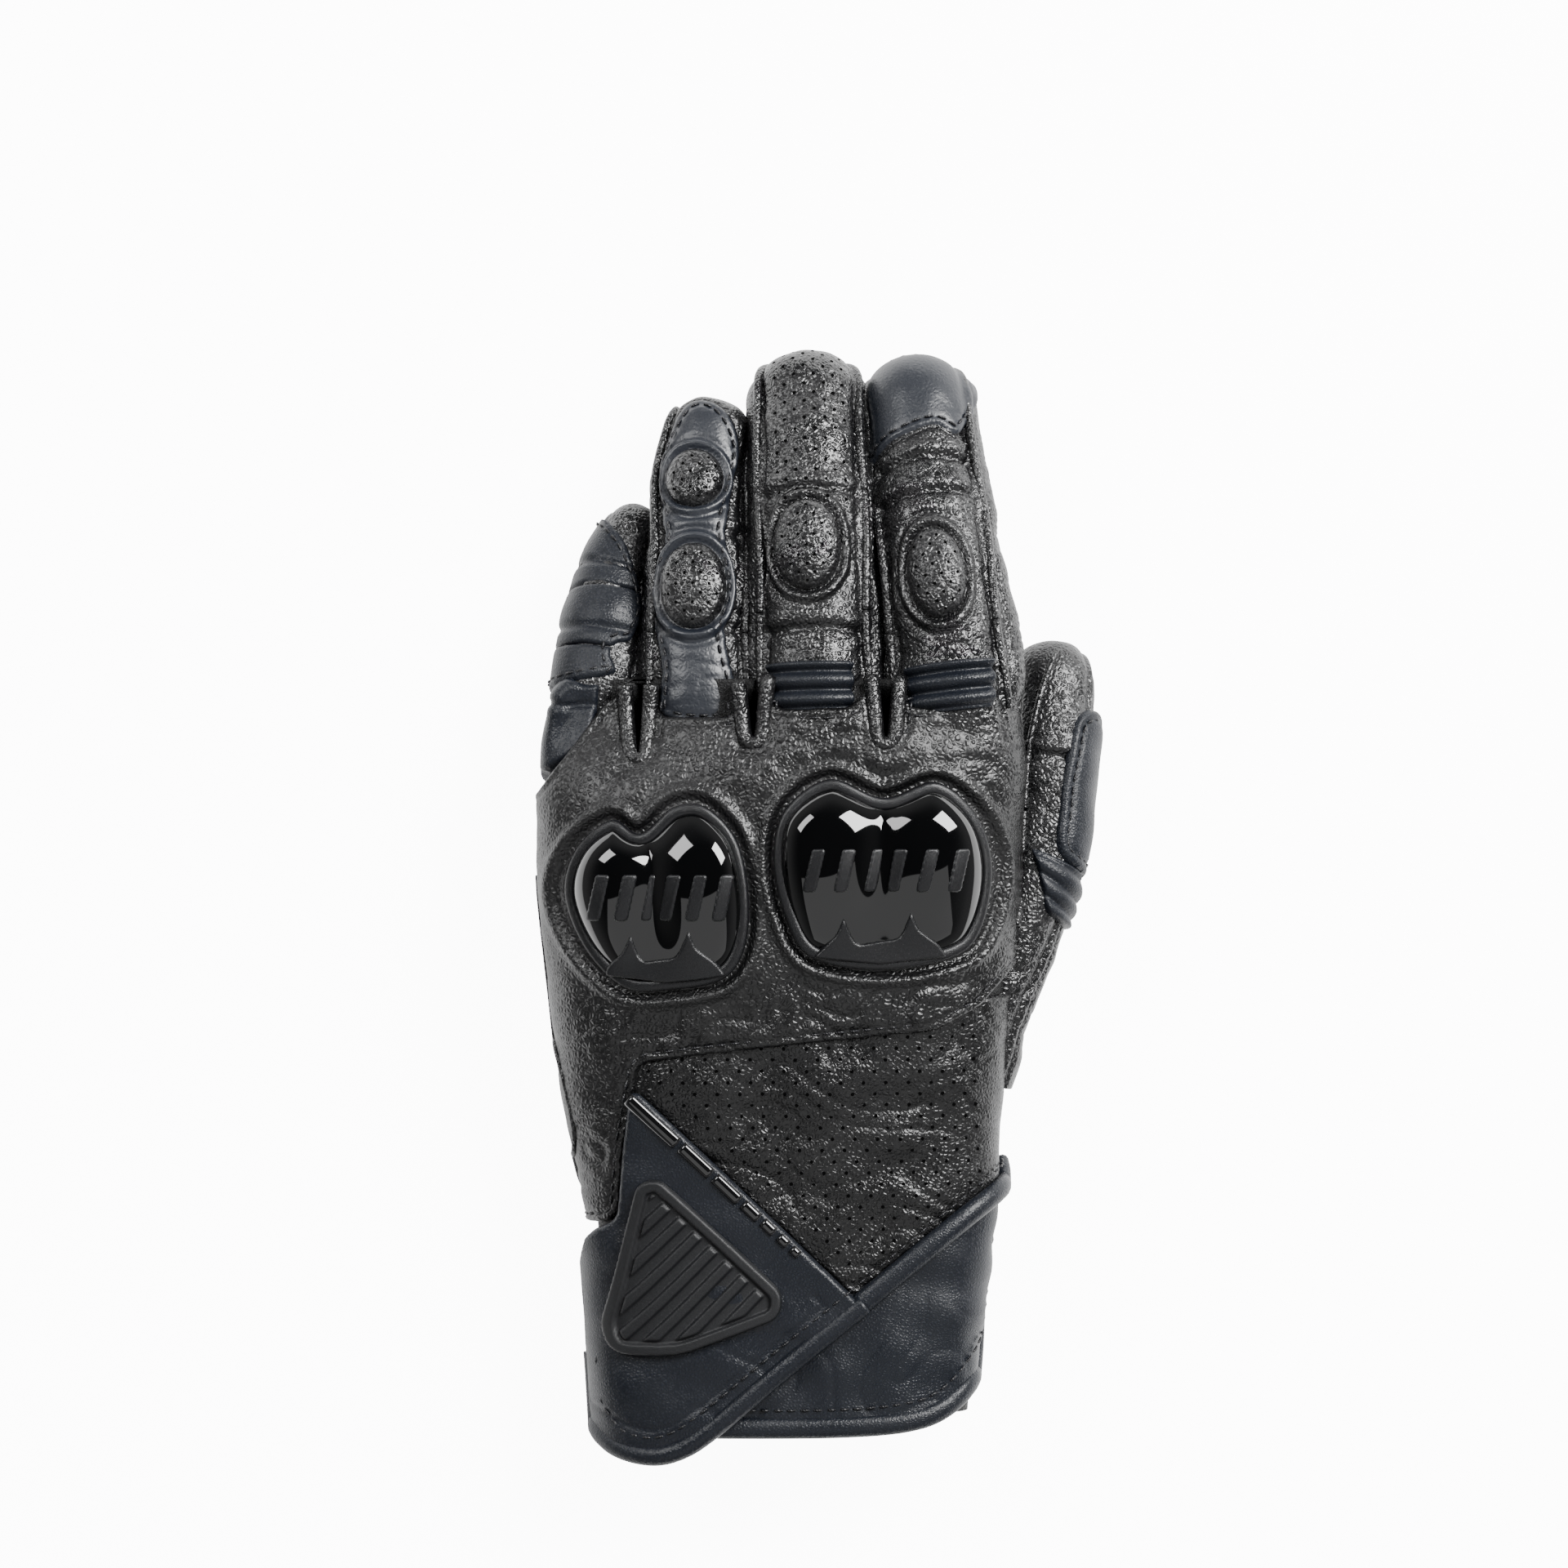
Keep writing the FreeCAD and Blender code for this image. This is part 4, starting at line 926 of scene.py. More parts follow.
SEAMS = {  # how far round from the top line: the outer side, the inner side
    "little": (9.5, 9.5),
    "ring": (11.4, 11.6),
    "middle": (13.2, 12.8),
    "index": (14.2, 12.6),
    "thumb": (10.6, 10.6),
}
RING_OVERLAY = (
    (-33.3, 43), (-34.1, 55.3), (-36.4, 71.7), (-33.6, 83), (-35, 96), (-32.4, 106), (-27.5, 112.6),
    (-21.5, 112), (-17.6, 105), (-18.6, 96), (-20.4, 84), (-18.4, 72), (-20.4, 60), (-18.4, 43.4),
)
INDEX_PATCH = ((10.6, 103.5), (17.5, 105.6), (25.4, 107.4), (31.6, 106.4), (33.5, 121), (22, 126), (9, 121))
LITTLE_GUARD = (
    (-45.6, 51), (-44.6, 58), (-40.6, 60.6), (-38.6, 70), (-41.5, 82), (-50, 88), (-68, 80), (-72, 60),
    (-70, 46),
)
PADS = {  # by CAD node: finger, the length it bends with, middle on the pattern, half width, half length
    "ring_tip_pad": ("ring", 2, (-27.2, 95.8), 6.7, 6.9),
    "ring_middle_pad": ("ring", 1, (-27.4, 71.4), 7.6, 8.8),
    "middle_pad": ("middle", 1, (-2.4, 80.2), 7.7, 9.2),
    "index_pad": ("index", 1, (25.9, 74.1), 6.7, 9.4),
}
OUTLINES = {
    "ring": curve(on_digit("ring", RING_OVERLAY)),
    "index": curve(on_digit("index", INDEX_PATCH)),
    "little": curve(on_digit("little", LITTLE_GUARD)),
}
GUSSETS = {"little": 0.4, "ring": 1.4, "middle": 2.4, "index": 2.5, "thumb": 0.6}  # how far the sides bulge
CREASES = {  # creases across each finger's top, on the pattern
    "little": (70.0,),
    "ring": (84.0, 62.5),
    "middle": (93.0, 62.0),
    "index": (92.0, 100.0),
    "thumb": (34.0,),
}


def finger_relief(name):
    """The height of a finger's leather over its sleeve: side seams, creases, overlays and pad rims."""
    digit = DIGITS[name]
    near_joints = digit.joint_rows

    def relief(u, v, points):
        seam = np.where(u < 0, *SEAMS[name])
        top = step((seam - np.abs(u)) / 2.5)
        lift = 0.22 * waves(points, 16, 3) + 0.05 * waves(points, 6, 5) + 0.35 * top
        past = np.abs(u) - seam
        near_root = hump(v - near_joints[0] - 9, 11)
        lift = lift + GUSSETS[name] * hump(past - 6.5, 5.0) * (1 + 0.9 * near_root)
        lift = lift + 0.5 * hump(past, 1.0) - 0.7 * hump(past - 1.7, 0.8) - 0.55 * hump(past + 1.7, 0.8)
        for place in near_joints:
            close = hump(v - place, 9)
            lift = lift + 0.7 * close * folds(points, (0.15, 1, 0.1), 5.6, 11)
            lift = lift + 0.3 * hump(v - place, 14) * folds(points, (0.25, 1, 0.1), 2.9, 13)
        lift = lift + 0.3 * folds(points, (0.3, 1, 0), 9.5, 17)
        under = step((np.abs(u) - digit.sleeve.girth(v) + 8) / 4)
        for place in near_joints[1:]:
            lift = lift - 1.1 * under * hump(v - place, 1.2)
        for y in CREASES[name]:
            row = digit.sleeve.v_of_y(y + HOME[1])
            groove = hump(v - row - 0.6 * np.cos(u / 5), 0.9)
            lift = lift + (0.5 * hump(v - row - 2.4, 1.4) - 1.0 * groove) * top
        smooth = np.zeros_like(u)
        if name in ("ring", "index"):
            depth, _ = depth_inside(OUTLINES[name], u, v)
            smooth = step(0.5 + depth)
            lift = lift * (1 - 0.6 * smooth * top)
            lift = lift + 0.75 * dome(depth / 0.7) * (depth > 0) - 0.25 * hump(depth - 1.7, 0.45)
            lift = lift - 0.45 * hump(depth + 0.5, 0.5)
        for place, _, middle, half_wide, half_long in PADS.values():
            if place == name:
                ((pad_u, pad_v),) = on_digit(name, [middle])
                away = np.hypot((u - pad_u) / half_wide, (v - pad_v) / half_long)
                lift = lift * (1 - 0.8 * hump(away, 1.4))
                for rim, height, wide in ((1.17, 0.95, 0.75), (1.38, -0.5, 0.7), (1.0, -0.7, 0.5)):
                    lift = lift + height * hump((away - rim) * half_wide, wide)
        if name == "thumb":
            lift = lift + 0.6 * folds(points, (1, 0.6, 0.2), 6.5, 23) * hump(v - 24, 14)
        return lift, {"smooth": smooth}

    return relief


for finger, digit in DIGITS.items():
    for number, first, last in digit.lengths():
        part = f"{finger}_{digit.parts[number]}"
        end = last == digit.length
        made = sleeve_mesh(f"{part}_skin", digit.sleeve, first, last, finger_relief(finger), closed_end=end)
        settle(made, FINGER_LEATHER, digit.bends[number], f"{part}_back", f"{part}_palm")


def punch_middle_finger(half_wide):
    """Rows of punched holes, drawn as discs of painted shade, over the middle finger's end, from its crease to
    its tip.
    """
    digit = DIGITS["middle"]
    zone = np.array(((-half_wide, digit.sleeve.v_of_y(91 + HOME[1])), (half_wide, digit.length - 6)))
    u, v = staggered(zone, 4.4, 2.3)
    lift, _ = finger_relief("middle")(u, v, digit.sleeve.at(u, v))
    for number, first, last in digit.lengths():
        kept = (v >= first) & (v < last) & (np.abs(u) < half_wide)
        if kept.any():
            made = punched(f"middle_holes_{number + 1}", digit.sleeve, u[kept], v[kept], lift[kept], 0.42)
            settle(made, HOLE_SHADE, digit.bends[number])


punch_middle_finger(9.8)


def seam_line(name, hand_side, first, last):
    """A finger's side seam as (u, v) points: it wanders a little, as 0.6 sin(v / 7)."""
    v = np.arange(first, last + 0.1, 0.5)
    reach = SEAMS[name][0 if hand_side < 0 else 1] + 0.6 * np.sin(v / 7 + hand_side)
    return np.stack([hand_side * reach, v], axis=-1)


for finger in ("ring", "middle", "index"):
    digit = DIGITS[finger]
    start, stop = digit.joint_rows[0] - 6, digit.length - 7
    for number, first, last in digit.lengths():
        for word, hand_side in (("outer", -1), ("inner", 1)):
            line = seam_line(finger, hand_side, max(first, start), min(last, stop))
            made = welt(f"{finger}_{word}_roll_{number + 1}", digit.sleeve, line, 0.75, 1.0, 1.05)
            settle(made, FINGER_LEATHER, digit.bends[number])


def pad_relief(half_wide, half_long, middle):
    """A low dome: 1.5 (1 - q^2) over the pad's own oval."""

    def relief(u, v, depth, points):
        away = np.hypot((u - middle[0]) / half_wide, (v - middle[1]) / half_long)
        return 1.5 * np.clip(1 - away**2, 0, 1) + 0.06 * waves(points, 3, 31)

    return relief


PAD_RISE, PAD_EDGE = (-0.2, 1.5), 2.0
for node, (finger, number, middle, half_wide, half_long) in PADS.items():
    digit = DIGITS[finger]
    (spot,) = on_digit(finger, [middle])
    ring = spot + oval(half_wide, half_long, count=90)
    shape = pad_relief(half_wide, half_long, spot)
    made = panel(f"{node}_dome", digit.sleeve, ring, *PAD_RISE, edge=PAD_EDGE, relief=shape, cell=0.4)
    settle(made, FINGER_LEATHER, digit.bends[number], node, slot="perforated_leather", fill=0.8)
    u, v = staggered(ring, 3.1, 1.8)
    depth, _ = depth_inside(ring, u, v)
    kept = depth > 1.6
    u, v, depth = u[kept], v[kept], depth[kept]
    top = panel_top(digit.sleeve, u, v, depth, *PAD_RISE, PAD_EDGE, shape)
    # the pad's punched holes as discs of painted shade
    settle(punched(f"{node}_holes", digit.sleeve, u, v, top, 0.36), HOLE_SHADE, digit.bends[number])

# ---------------------------------------------------------------- hand, wrist and cuff


CROTCHES = {
    "little_ring_welt": ((-38.9, 32.6), 2.3, 49.8),
    "ring_middle_welt": ((-13.8, 36.6), 2.5, 50.2),
    "middle_index_welt": ((14.7, 36.8), 2.5, 50.2),
}


def hand_relief(u, v, points):
    """The hand's own leather: a slow swell, creases across the palm and round the wrist, and a drop between
    the finger roots."""
    palm = step((np.abs(u) - 52) / 8)
    lift = 0.25 * waves(points, 18, 41) + 0.7 * palm * folds(points, (0.5, 1, 0), 15, 43)
    for (x, y), reach, _ in CROTCHES.values():
        across, along = points[..., 0] - x - HOME[0], points[..., 1] - y - HOME[1]
        lift = lift - 11.0 * step((reach - 0.6 - np.abs(across)) / 1.2) * step(along / 3) * (1 - palm)
    lift = lift + 0.8 * hump(v + 52, 16) * folds(points, (0.25, 1, 0.1), 8, 45)
    return lift, {}


CUFF_MOUTH, CUFF_WALL = -111.0, 1.4
made = sleeve_mesh("hand_skin", HAND, CUFF_MOUTH, HAND.rows[-1], hand_relief, closed_end=True, cell=0.8)
wall = made.modifiers.new("wall", "SOLIDIFY")
wall.thickness, wall.offset = CUFF_WALL * MM, -1
settle(made, PALM_LEATHER, "hand", "palm_panel", "cuff_sleeve", "finger_web", "thumb_gusset")

OUTER_PLATE = (
    (-55.2, 4.2), (-52.4, 14.4), (-44.8, 20.6), (-38.6, 17.6), (-31.6, 23.2), (-24.4, 23.4),
    (-17.6, 16.4), (-14.9, 4.6), (-15.6, -7.2), (-20.5, -14.4), (-31.5, -16.8), (-42, -16.4),
    (-50.6, -8),
)
INNER_PLATE = (
    (-10, 11.4), (-7.6, 22.4), (2.4, 29.4), (14.2, 25.4), (25.6, 28.8), (34.6, 21.4), (38, 9.8),
    (35.6, -3.4), (29.4, -9.8), (13.4, -12.6), (-1.6, -9.8), (-7.4, -1),
)
PLATES = {"outer": curve(OUTER_PLATE) + HOME, "inner": curve(INNER_PLATE) + HOME}

BACK = (
    (-47.6, 45.6), (-42.6, 48.6), (-41.4, 36), (-39, 31.4), (-36.5, 36), (-35.8, 48.6), (-34, 43),
    (-25.5, 42.9), (-18.6, 43), (-17.2, 49.2), (-16.2, 39), (-13.7, 35.6), (-11.4, 39), (-10.6, 49.2),
    (-8.8, 45), (-2, 44.9), (6.8, 44.8), (11, 49.2), (12.2, 39.4), (14.6, 35.8), (17, 39.4),
    (18.4, 49.2), (20, 45), (30, 44.6), (38.6, 44.6), (42.4, 48.6), (47.5, 38), (48.6, 10), (45.4, -6),
    (41.6, -12), (34.9, -20.8), (25, -26), (-0.2, -28.4), (-27.2, -31.4), (-38.4, -33), (-41.4, -51),
    (-42.4, -66), (-45, -68.2), (-50.8, -69.2), (-60, -62), (-66, -38), (-75, 0), (-74, 24), (-61, 24),
)


def back_relief(u, v, depth, points):
    """The padded back: welts round the two guards, a seam groove, and folds below the guards."""
    x, y = points[:, 0], points[:, 1]
    side = 0.3 + 0.7 * step((46 - np.abs(x + 8)) / 8)
    lift = (0.25 * waves(points, 17, 51) + 0.1 * waves(points, 6, 53)) * side
    low_part = step((6 - y) / 10) * side
    lift = lift + 0.75 * low_part * folds(points, (-0.35, 1, 0.1), 7.0, 57) + 0.9 * hump(y - 31, 8)
    lift = lift + 0.5 * folds(points, (0.2, 1, 0), 9.0, 59) * step((y - 20) / 12)
    for outline in PLATES.values():
        inside, _ = depth_inside(outline, x, y)
        lift = lift * step((-inside - 1) / 6) + 1.0 * hump(inside + 2.1, 1.1) - 0.9 * hump(inside + 0.2, 0.9)
        lift = lift - 0.9 * step(inside / 2)
    return lift - 0.4 * hump(depth - 2.3, 0.5)


back_line = hand_outline(BACK, 2.2)
made = panel("back_panel_leather", HAND, back_line, -0.3, 2.6, edge=1.5, relief=back_relief, cell=0.6)
settle(made, BACK_LEATHER, "hand", "back_panel", fill=0.5)

OUTER_SEAM = (
    (-59.6, 8), (-58.6, -8), (-57.2, -22), (-53.4, -38), (-51.4, -50), (-52.8, -58), (-56, -62),
)
settle(welt("outer_side_roll", HAND, hand_curve(OUTER_SEAM), 2.5, 0.7, 0.6), BACK_LEATHER, "hand")

WRIST = (
    (-41, -28), (41, -18), (46.5, -2), (60, -8), (64, -34), (56, -55), (42.4, -57), (7.7, -85),
    (-41.5, -38.5),
)


def wrist_relief(u, v, depth, points):
    """The soft wrist leather: slanting folds that gather towards the thumb."""
    lift = 0.3 * waves(points, 19, 61) + 0.04 * waves(points, 5, 63)
    lift = lift + 0.5 * folds(points, (0.3, 1, 0.05), 8.4, 65) + 0.3 * folds(points, (-0.5, 1, 0), 11.5, 67)
    return lift * (0.3 + 0.7 * step((40 - points[:, 0]) / 10))


WRIST_RISE, WRIST_EDGE = (-0.3, 1.5), 1.2
wrist_line = hand_outline(WRIST, 2.0)
made = panel("wrist_leather", HAND, wrist_line, *WRIST_RISE, edge=WRIST_EDGE, relief=wrist_relief, cell=0.6)
settle(made, WRIST_LEATHER, "hand", "wrist_panel")
u, v = staggered(wrist_line, 4.9, 2.5)
depth, _ = depth_inside(wrist_line, u, v)
clear_of_flap = (u - HOME[0]) + (v - HOME[1]) > -72.0
kept = (depth > 4.0) & (np.abs(u + 8) < 52) & clear_of_flap
u, v, depth = u[kept], v[kept], depth[kept]
top = panel_top(HAND, u, v, depth, *WRIST_RISE, WRIST_EDGE, wrist_relief)
# the wrist's punched holes as discs of painted shade
settle(punched("wrist_holes", HAND, u, v, top, 0.42), HOLE_SHADE, "hand")

TAB = (
    (-41, -87), (6, -84), (42, -58), (45.6, -62), (44.4, -78), (41, -91), (36, -101.5), (29, -108.8),
    (20, -112.2), (4, -113.3), (-41, -113.3),
)


def tab_relief(u, v, depth, points):
    """The tab's leather: a slow swell and a few folds across it."""
    return 0.22 * waves(points, 16, 71) + 0.25 * folds(points, (1, 0.4, 0), 12, 73)


tab_line = hand_outline(TAB, 5.0)
made = panel("under_tab_leather", HAND, tab_line, -0.3, 1.3, edge=1.0, relief=tab_relief, cell=0.6)
settle(made, SMOOTH_LEATHER, "hand", "under_tab")
TAB_EDGE = (
    (44.8, -63), (43.8, -78), (40.4, -91), (35.4, -101.5), (28.4, -108.6), (20, -111.8), (4, -113),
    (-22, -113.2),
)
made = welt("under_tab_piping", HAND, hand_curve(TAB_EDGE), 0.7, 2.4, 1.6)
settle(made, SMOOTH_LEATHER, "hand", "under_tab_binding")
TAB_SEAM = (
    (41, -63), (39.8, -77), (36.8, -89.4), (32.2, -98.8), (26, -105.2), (18.6, -107.8), (3.8, -109),
    (-20, -109.2),
)
made = stitches("under_tab_thread", HAND, hand_curve(TAB_SEAM), 1.5)
settle(made, THREAD, "hand")

KNOB, TAIL = np.array((42.8, -57.2)), np.array((9.0, -85.8))  # the ends of the slanting piping
made = welt("wrist_piping", HAND, on_hand(evenly([KNOB + 0.9, TAIL], 0.7)), 2.5, 2.5, 1.9)
settle(made, SMOOTH_LEATHER, "hand", "wrist_binding")
aside = 3.6 * turned_right(unit(TAIL - KNOB))
made = stitches("wrist_piping_thread", HAND, on_hand(evenly([KNOB + aside, TAIL + aside], 0.7)), 2.3)
settle(made, THREAD, "hand")

# ---------------------------------------------------------------- the cuff flap

HINGE_TOP, HINGE_END = np.array((-40.2, -37.0)), np.array((8.6, -84.6))
FLAP = (
    tuple(HINGE_TOP), tuple(HINGE_END), (9.8, -86), (-23, -113.4), (-30, -118), (-36, -119.4),
    (-43, -117.2), (-47.6, -111), (-49.2, -104), (-49.4, -88), (-47.2, -69.5), (-42.4, -67.2),
    (-41.6, -52),
)
FLAP_LOW, FLAP_HIGH = 2.7, 4.6
flap_joint = joint_at("flap_lift")
hinge_along = unit(np.array(JOINTS["flap_lift"]["axis"]))
to_flap = unit(np.cross(hinge_along, (0, 0, 1)))
to_flap = to_flap * np.sign(-to_flap[1] - to_flap[0])
FLAP_BEND = ("hand", "cuff_flap", flap_joint - 0.5 * to_flap, flap_joint + 6.5 * to_flap)


def flap_relief(u, v, depth, points):
    """The flap's leather: nearly flat, with a few long soft folds towards its lobe."""
    near_lobe = step((-84 - points[:, 1]) / 14)
    lift = 0.25 * waves(points, 20, 81) + 0.35 * folds(points, (1, 0.7, 0), 13, 83) * near_lobe
    return lift - 0.35 * hump(depth - 5.8, 0.5) * (points[:, 1] < -84)


flap_line = hand_outline(FLAP, 4.0)
made = panel("flap_leather", HAND, flap_line, FLAP_LOW, FLAP_HIGH, edge=0.9, relief=flap_relief, backed=True)
settle(made, SMOOTH_LEATHER, FLAP_BEND, "cuff_flap")
LOBE = (
    tuple(TAIL + (1.0, 0.4)), (-8, -100.2), (-22.6, -112.6), (-29.6, -117.4), (-36, -118.9),
    (-42.8, -116.8), (-47.2, -110.8), (-48.8, -104), (-49.2, -98),
)
lobe_line = curve(LOBE, closed=False)
made = welt("flap_piping", HAND, on_hand(lobe_line), (FLAP_LOW + FLAP_HIGH) / 2, 2.3, 1.9)
settle(made, SMOOTH_LEATHER, "cuff_flap", "flap_binding")
seam_inside = lobe_line + 4.2 * turned_right(unit(np.gradient(lobe_line, axis=0)))
made = stitches("flap_thread", HAND, on_hand(seam_inside), FLAP_HIGH + 0.15)
settle(made, THREAD, "cuff_flap")

BADGE = (
    (-38.4, -58.5), (-34, -57.2), (-7.4, -82.8), (-8.2, -88.4), (-29.5, -96.8), (-42.2, -96.8),
    (-44.4, -90.5),
)
badge_line = hand_outline(BADGE, 3.6)


def badge_relief(u, v, depth, points):
    """A raised rubber badge: a rim, a sunk field, and slanting ribs across it every 6.2."""
    field = step((depth - 2.4) / 0.5)
    across = (points[:, 0] - points[:, 1] * 0.93) / 6.2
    rib = step((np.sin(2 * np.pi * across) + 0.25) / 0.5)
    return -1.0 * field * (1 - rib * step((depth - 3.2) / 0.5))


badge_low, badge_high = FLAP_HIGH - 0.3, FLAP_HIGH + 1.7
made = panel("wrist_badge", HAND, badge_line, badge_low, badge_high, edge=0.7, relief=badge_relief, cell=0.33)
settle(made, PAD_RUBBER, "cuff_flap", "wrist_pad", fill=1.0)

INSERTS = (  # where each dash starts along the hinge, and its length
    (2.0, 14.0), (17.2, 8.6), (27.0, 7.2), (35.4, 4.6), (41.2, 3.4), (46.0, 2.6), (49.8, 2.2),
)
hinge_run = unit(HINGE_END - HINGE_TOP)
for number, (start, length) in enumerate(INSERTS):
    narrowing = 0.08 * number
    across = turned_right(hinge_run) * (2.2 - narrowing)
    ends = on_hand([HINGE_TOP + hinge_run * run + across for run in (start, start + length)])
    made = welt(f"gloss_insert_{number + 1}", HAND, ends, FLAP_HIGH + 0.2, 1.5 - narrowing, 0.75)
    settle(made, INSERT_GLOSS, "cuff_flap", *(["gloss_inserts"] if number == 0 else []))

PATCH = ((-35.0, -78.6), (-9.4, -78.6), (-9.4, -99.4), (-35.0, -99.4))
patch_line = hand_outline(PATCH, 3.0)
made = panel("loop_patch_cloth", HAND, patch_line, -0.1, 1.55, edge=0.5, backed=True)
settle(made, HOOK_LOOP, "hand", "loop_patch")
made = panel("hook_patch_cloth", HAND, patch_line, FLAP_LOW - 0.75, FLAP_LOW + 0.25, edge=0.4, backed=True)
settle(made, HOOK_LOOP, "cuff_flap", "hook_patch")

# ---------------------------------------------------------------- knuckle guards

LOBES = {  # the two knuckle domes of each guard, on the pattern: middle, half width, reach above and below
    "outer": (((-45.4, 8.6), 9.6, 8.6, 17.0), ((-25.6, 9.4), 10.4, 10.0, 18.0)),
    "inner": (((2.0, 16.4), 11.2, 9.4, 20.0), ((26.0, 15.6), 11.4, 9.6, 19.0)),
}
BARS = {"outer": (-49.6, -19.2, -1.2, 8.6), "inner": (-3.2, 31.6, 5.0, 14.2)}  # left, right, low, high
PRONGS = {  # the fork's two points, its foot, and the foot's left and right ends
    "outer": ((-40.9, -3.4), (-27.7, -2.4), -17.4, -46.0, -19.5),
    "inner": ((5.2, 0.4), (20.4, 1.6), -13.4, -1.5, 28.0),
}


def shell_height(side):
    """The guard's own form over the hand: the taller of 4.6 exp(-q^1.4) for each knuckle, q its squared oval
    distance, eased where the two meet: 0.5 (a + b + sqrt((a - b)^2 + 1))."""

    def height(x, y):
        rises = []
        for middle, wide, above, below in LOBES[side]:
            dx, dy = x - middle[0] - HOME[0], y - middle[1] - HOME[1]
            q = (dx / wide) ** 2 + (dy / np.where(dy > 0, above, below)) ** 2
            rises.append(4.6 * np.exp(-(q**1.4)))
        first, second = rises
        return hand_top(x, y) + 1.4 + 0.5 * (first + second + np.sqrt((first - second) ** 2 + 1))

    return height


def bed_height(x, y):
    """Where the guards' frames lie on the padded back."""
    return hand_top(x, y) + 2.3


def boxy(half_width, half_height):
    """A profile between an oval and a box: a sign(cos f) |cos f|^0.6 across, b sign(sin f) |sin f|^0.7 up."""
    ring = oval(1, 1, count=22)
    return np.sign(ring) * np.abs(ring) ** np.array((0.6, 0.7)) * (half_width, half_height)


def fork_outline(side):
    """The raised fork below the bars: a point at each knuckle and a broad foot."""
    (ax, ay), (bx, by), foot, west, east = PRONGS[side]
    left = [(ax - 4.6, ay - 7.6), (ax - 1.6, ay - 4.4), (ax, ay), (ax + 2.2, ay - 5.2), (ax + 3.4, ay - 6.6)]
    right = [(bx - 3.4, by - 6.6), (bx - 2.2, by - 5.2), (bx, by), (bx + 1.6, by - 4.4), (bx + 5.6, by - 7.6)]
    base = [(east, foot + 4.0), ((east + west) / 2, foot + 2.2), (west, foot + 4.0)]
    return rounded(np.array(left + right + base) + HOME, 1.2, pitch=0.3)


BED = Plate(bed_height)
for side, outline in PLATES.items():
    guard = Plate(shell_height(side))
    made = panel(f"{side}_guard_shell", guard, inset(outline, 1.8), -0.6, 2.0, edge=5.0, cell=0.4)
    settle(made, GUARD_GLOSS, "hand", f"{side}_knuckle_shell")
    x, y = inset(outline, 1.6).T
    made = swept(f"{side}_guard_frame", BED.at(x, y), BED.normal(x, y), boxy(1.4, 1.8), closed=True)
    settle(made, GUARD_FRAME, "hand", f"{side}_knuckle_frame")
    left, right, low, high = BARS[side]
    for number, x in enumerate(np.linspace(left, right - 4.4, 6)):
        bar = np.array([(x, low), (x + 3.0, low), (x + 5.0, high), (x + 2.0, high)]) + HOME
        bar = rounded(bar, 0.8, pitch=0.3)
        made = panel(f"{side}_guard_bar_{number + 1}", guard, bar, 1.7, 2.35, edge=0.35, cell=0.3)
        settle(made, GUARD_FRAME, "hand")
    made = panel(f"{side}_guard_fork", guard, fork_outline(side), 1.0, 2.6, edge=0.7, cell=0.3)
    settle(made, GUARD_FRAME, "hand")

# ---------------------------------------------------------------- rolls, ribs and thread

for node, ((x, y), reach, top) in CROTCHES.items():
    half = [(reach + 0.6, top), (reach, y + 7), (reach - 0.4, y + 2.6), (1.4, y + 0.2)]
    line = [(x - away, row) for away, row in half] + [(x, y)] + [(x + away, row) for away, row in half[::-1]]
    settle(welt(f"{node}_roll", HAND, hand_curve(line), 1.9, 1.8, 1.9), FINGER_LEATHER, "hand", node)

EDGE_ROLL = ((41.4, 50.0), (42.4, 45.0), (43.6, 34.0), (44.0, 23.0), (43.6, 10.0), (41.6, -3.0))
settle(welt("thumb_side_roll", HAND, hand_curve(EDGE_ROLL), 2.1, 1.15, 1.2), FINGER_LEATHER, "hand")


def ribbed(height, first, pitch, power, slant=0.0):
    """Rounded ribs: height |sin(pi (v + slant u - first) / pitch)|^power."""

    def relief(u, v, depth, points):
        return height * np.abs(np.sin(np.pi * (v + slant * u - first) / pitch)) ** power

    return relief


RIBS = {"middle": (-1.9, 9.6), "index": (28.6, 10.0)}  # the middle across, and half the width
for finger, (x, half_wide) in RIBS.items():
    digit = DIGITS[finger]
    (low_u, low_v), (high_u, high_v) = on_digit(finger, [(x, 44.0), (x, 55.2)])
    box_line = [(low_u - half_wide, low_v), (low_u + half_wide, low_v)]
    box_line += [(high_u + half_wide, high_v), (high_u - half_wide, high_v)]
    ribs = ribbed(1.9, low_v + 0.9, 3.35, 0.8)
    box_line = rounded(box_line, 1.0)
    made = panel(f"{finger}_stretch_ribs", digit.sleeve, box_line, -0.2, 0.7, edge=0.8, relief=ribs, cell=0.3)
    settle(made, SMOOTH_LEATHER, digit.bends[0], f"{finger}_stretch_panel")

GUARD_BASE = ((-47.4, 50.6), (-49.3, 37.6), (-54.0, 33.4), (-62.0, 28.5), (-72.0, 26.0), (-76.0, 50.6))


def quilt(rows):
    """Stitched tucks across a guard, at the given rows."""

    def relief(u, v, depth, points):
        return sum(-0.8 * hump(v - row, 0.8) for row in rows) + 0.1 * waves(points, 9, 91)

    return relief


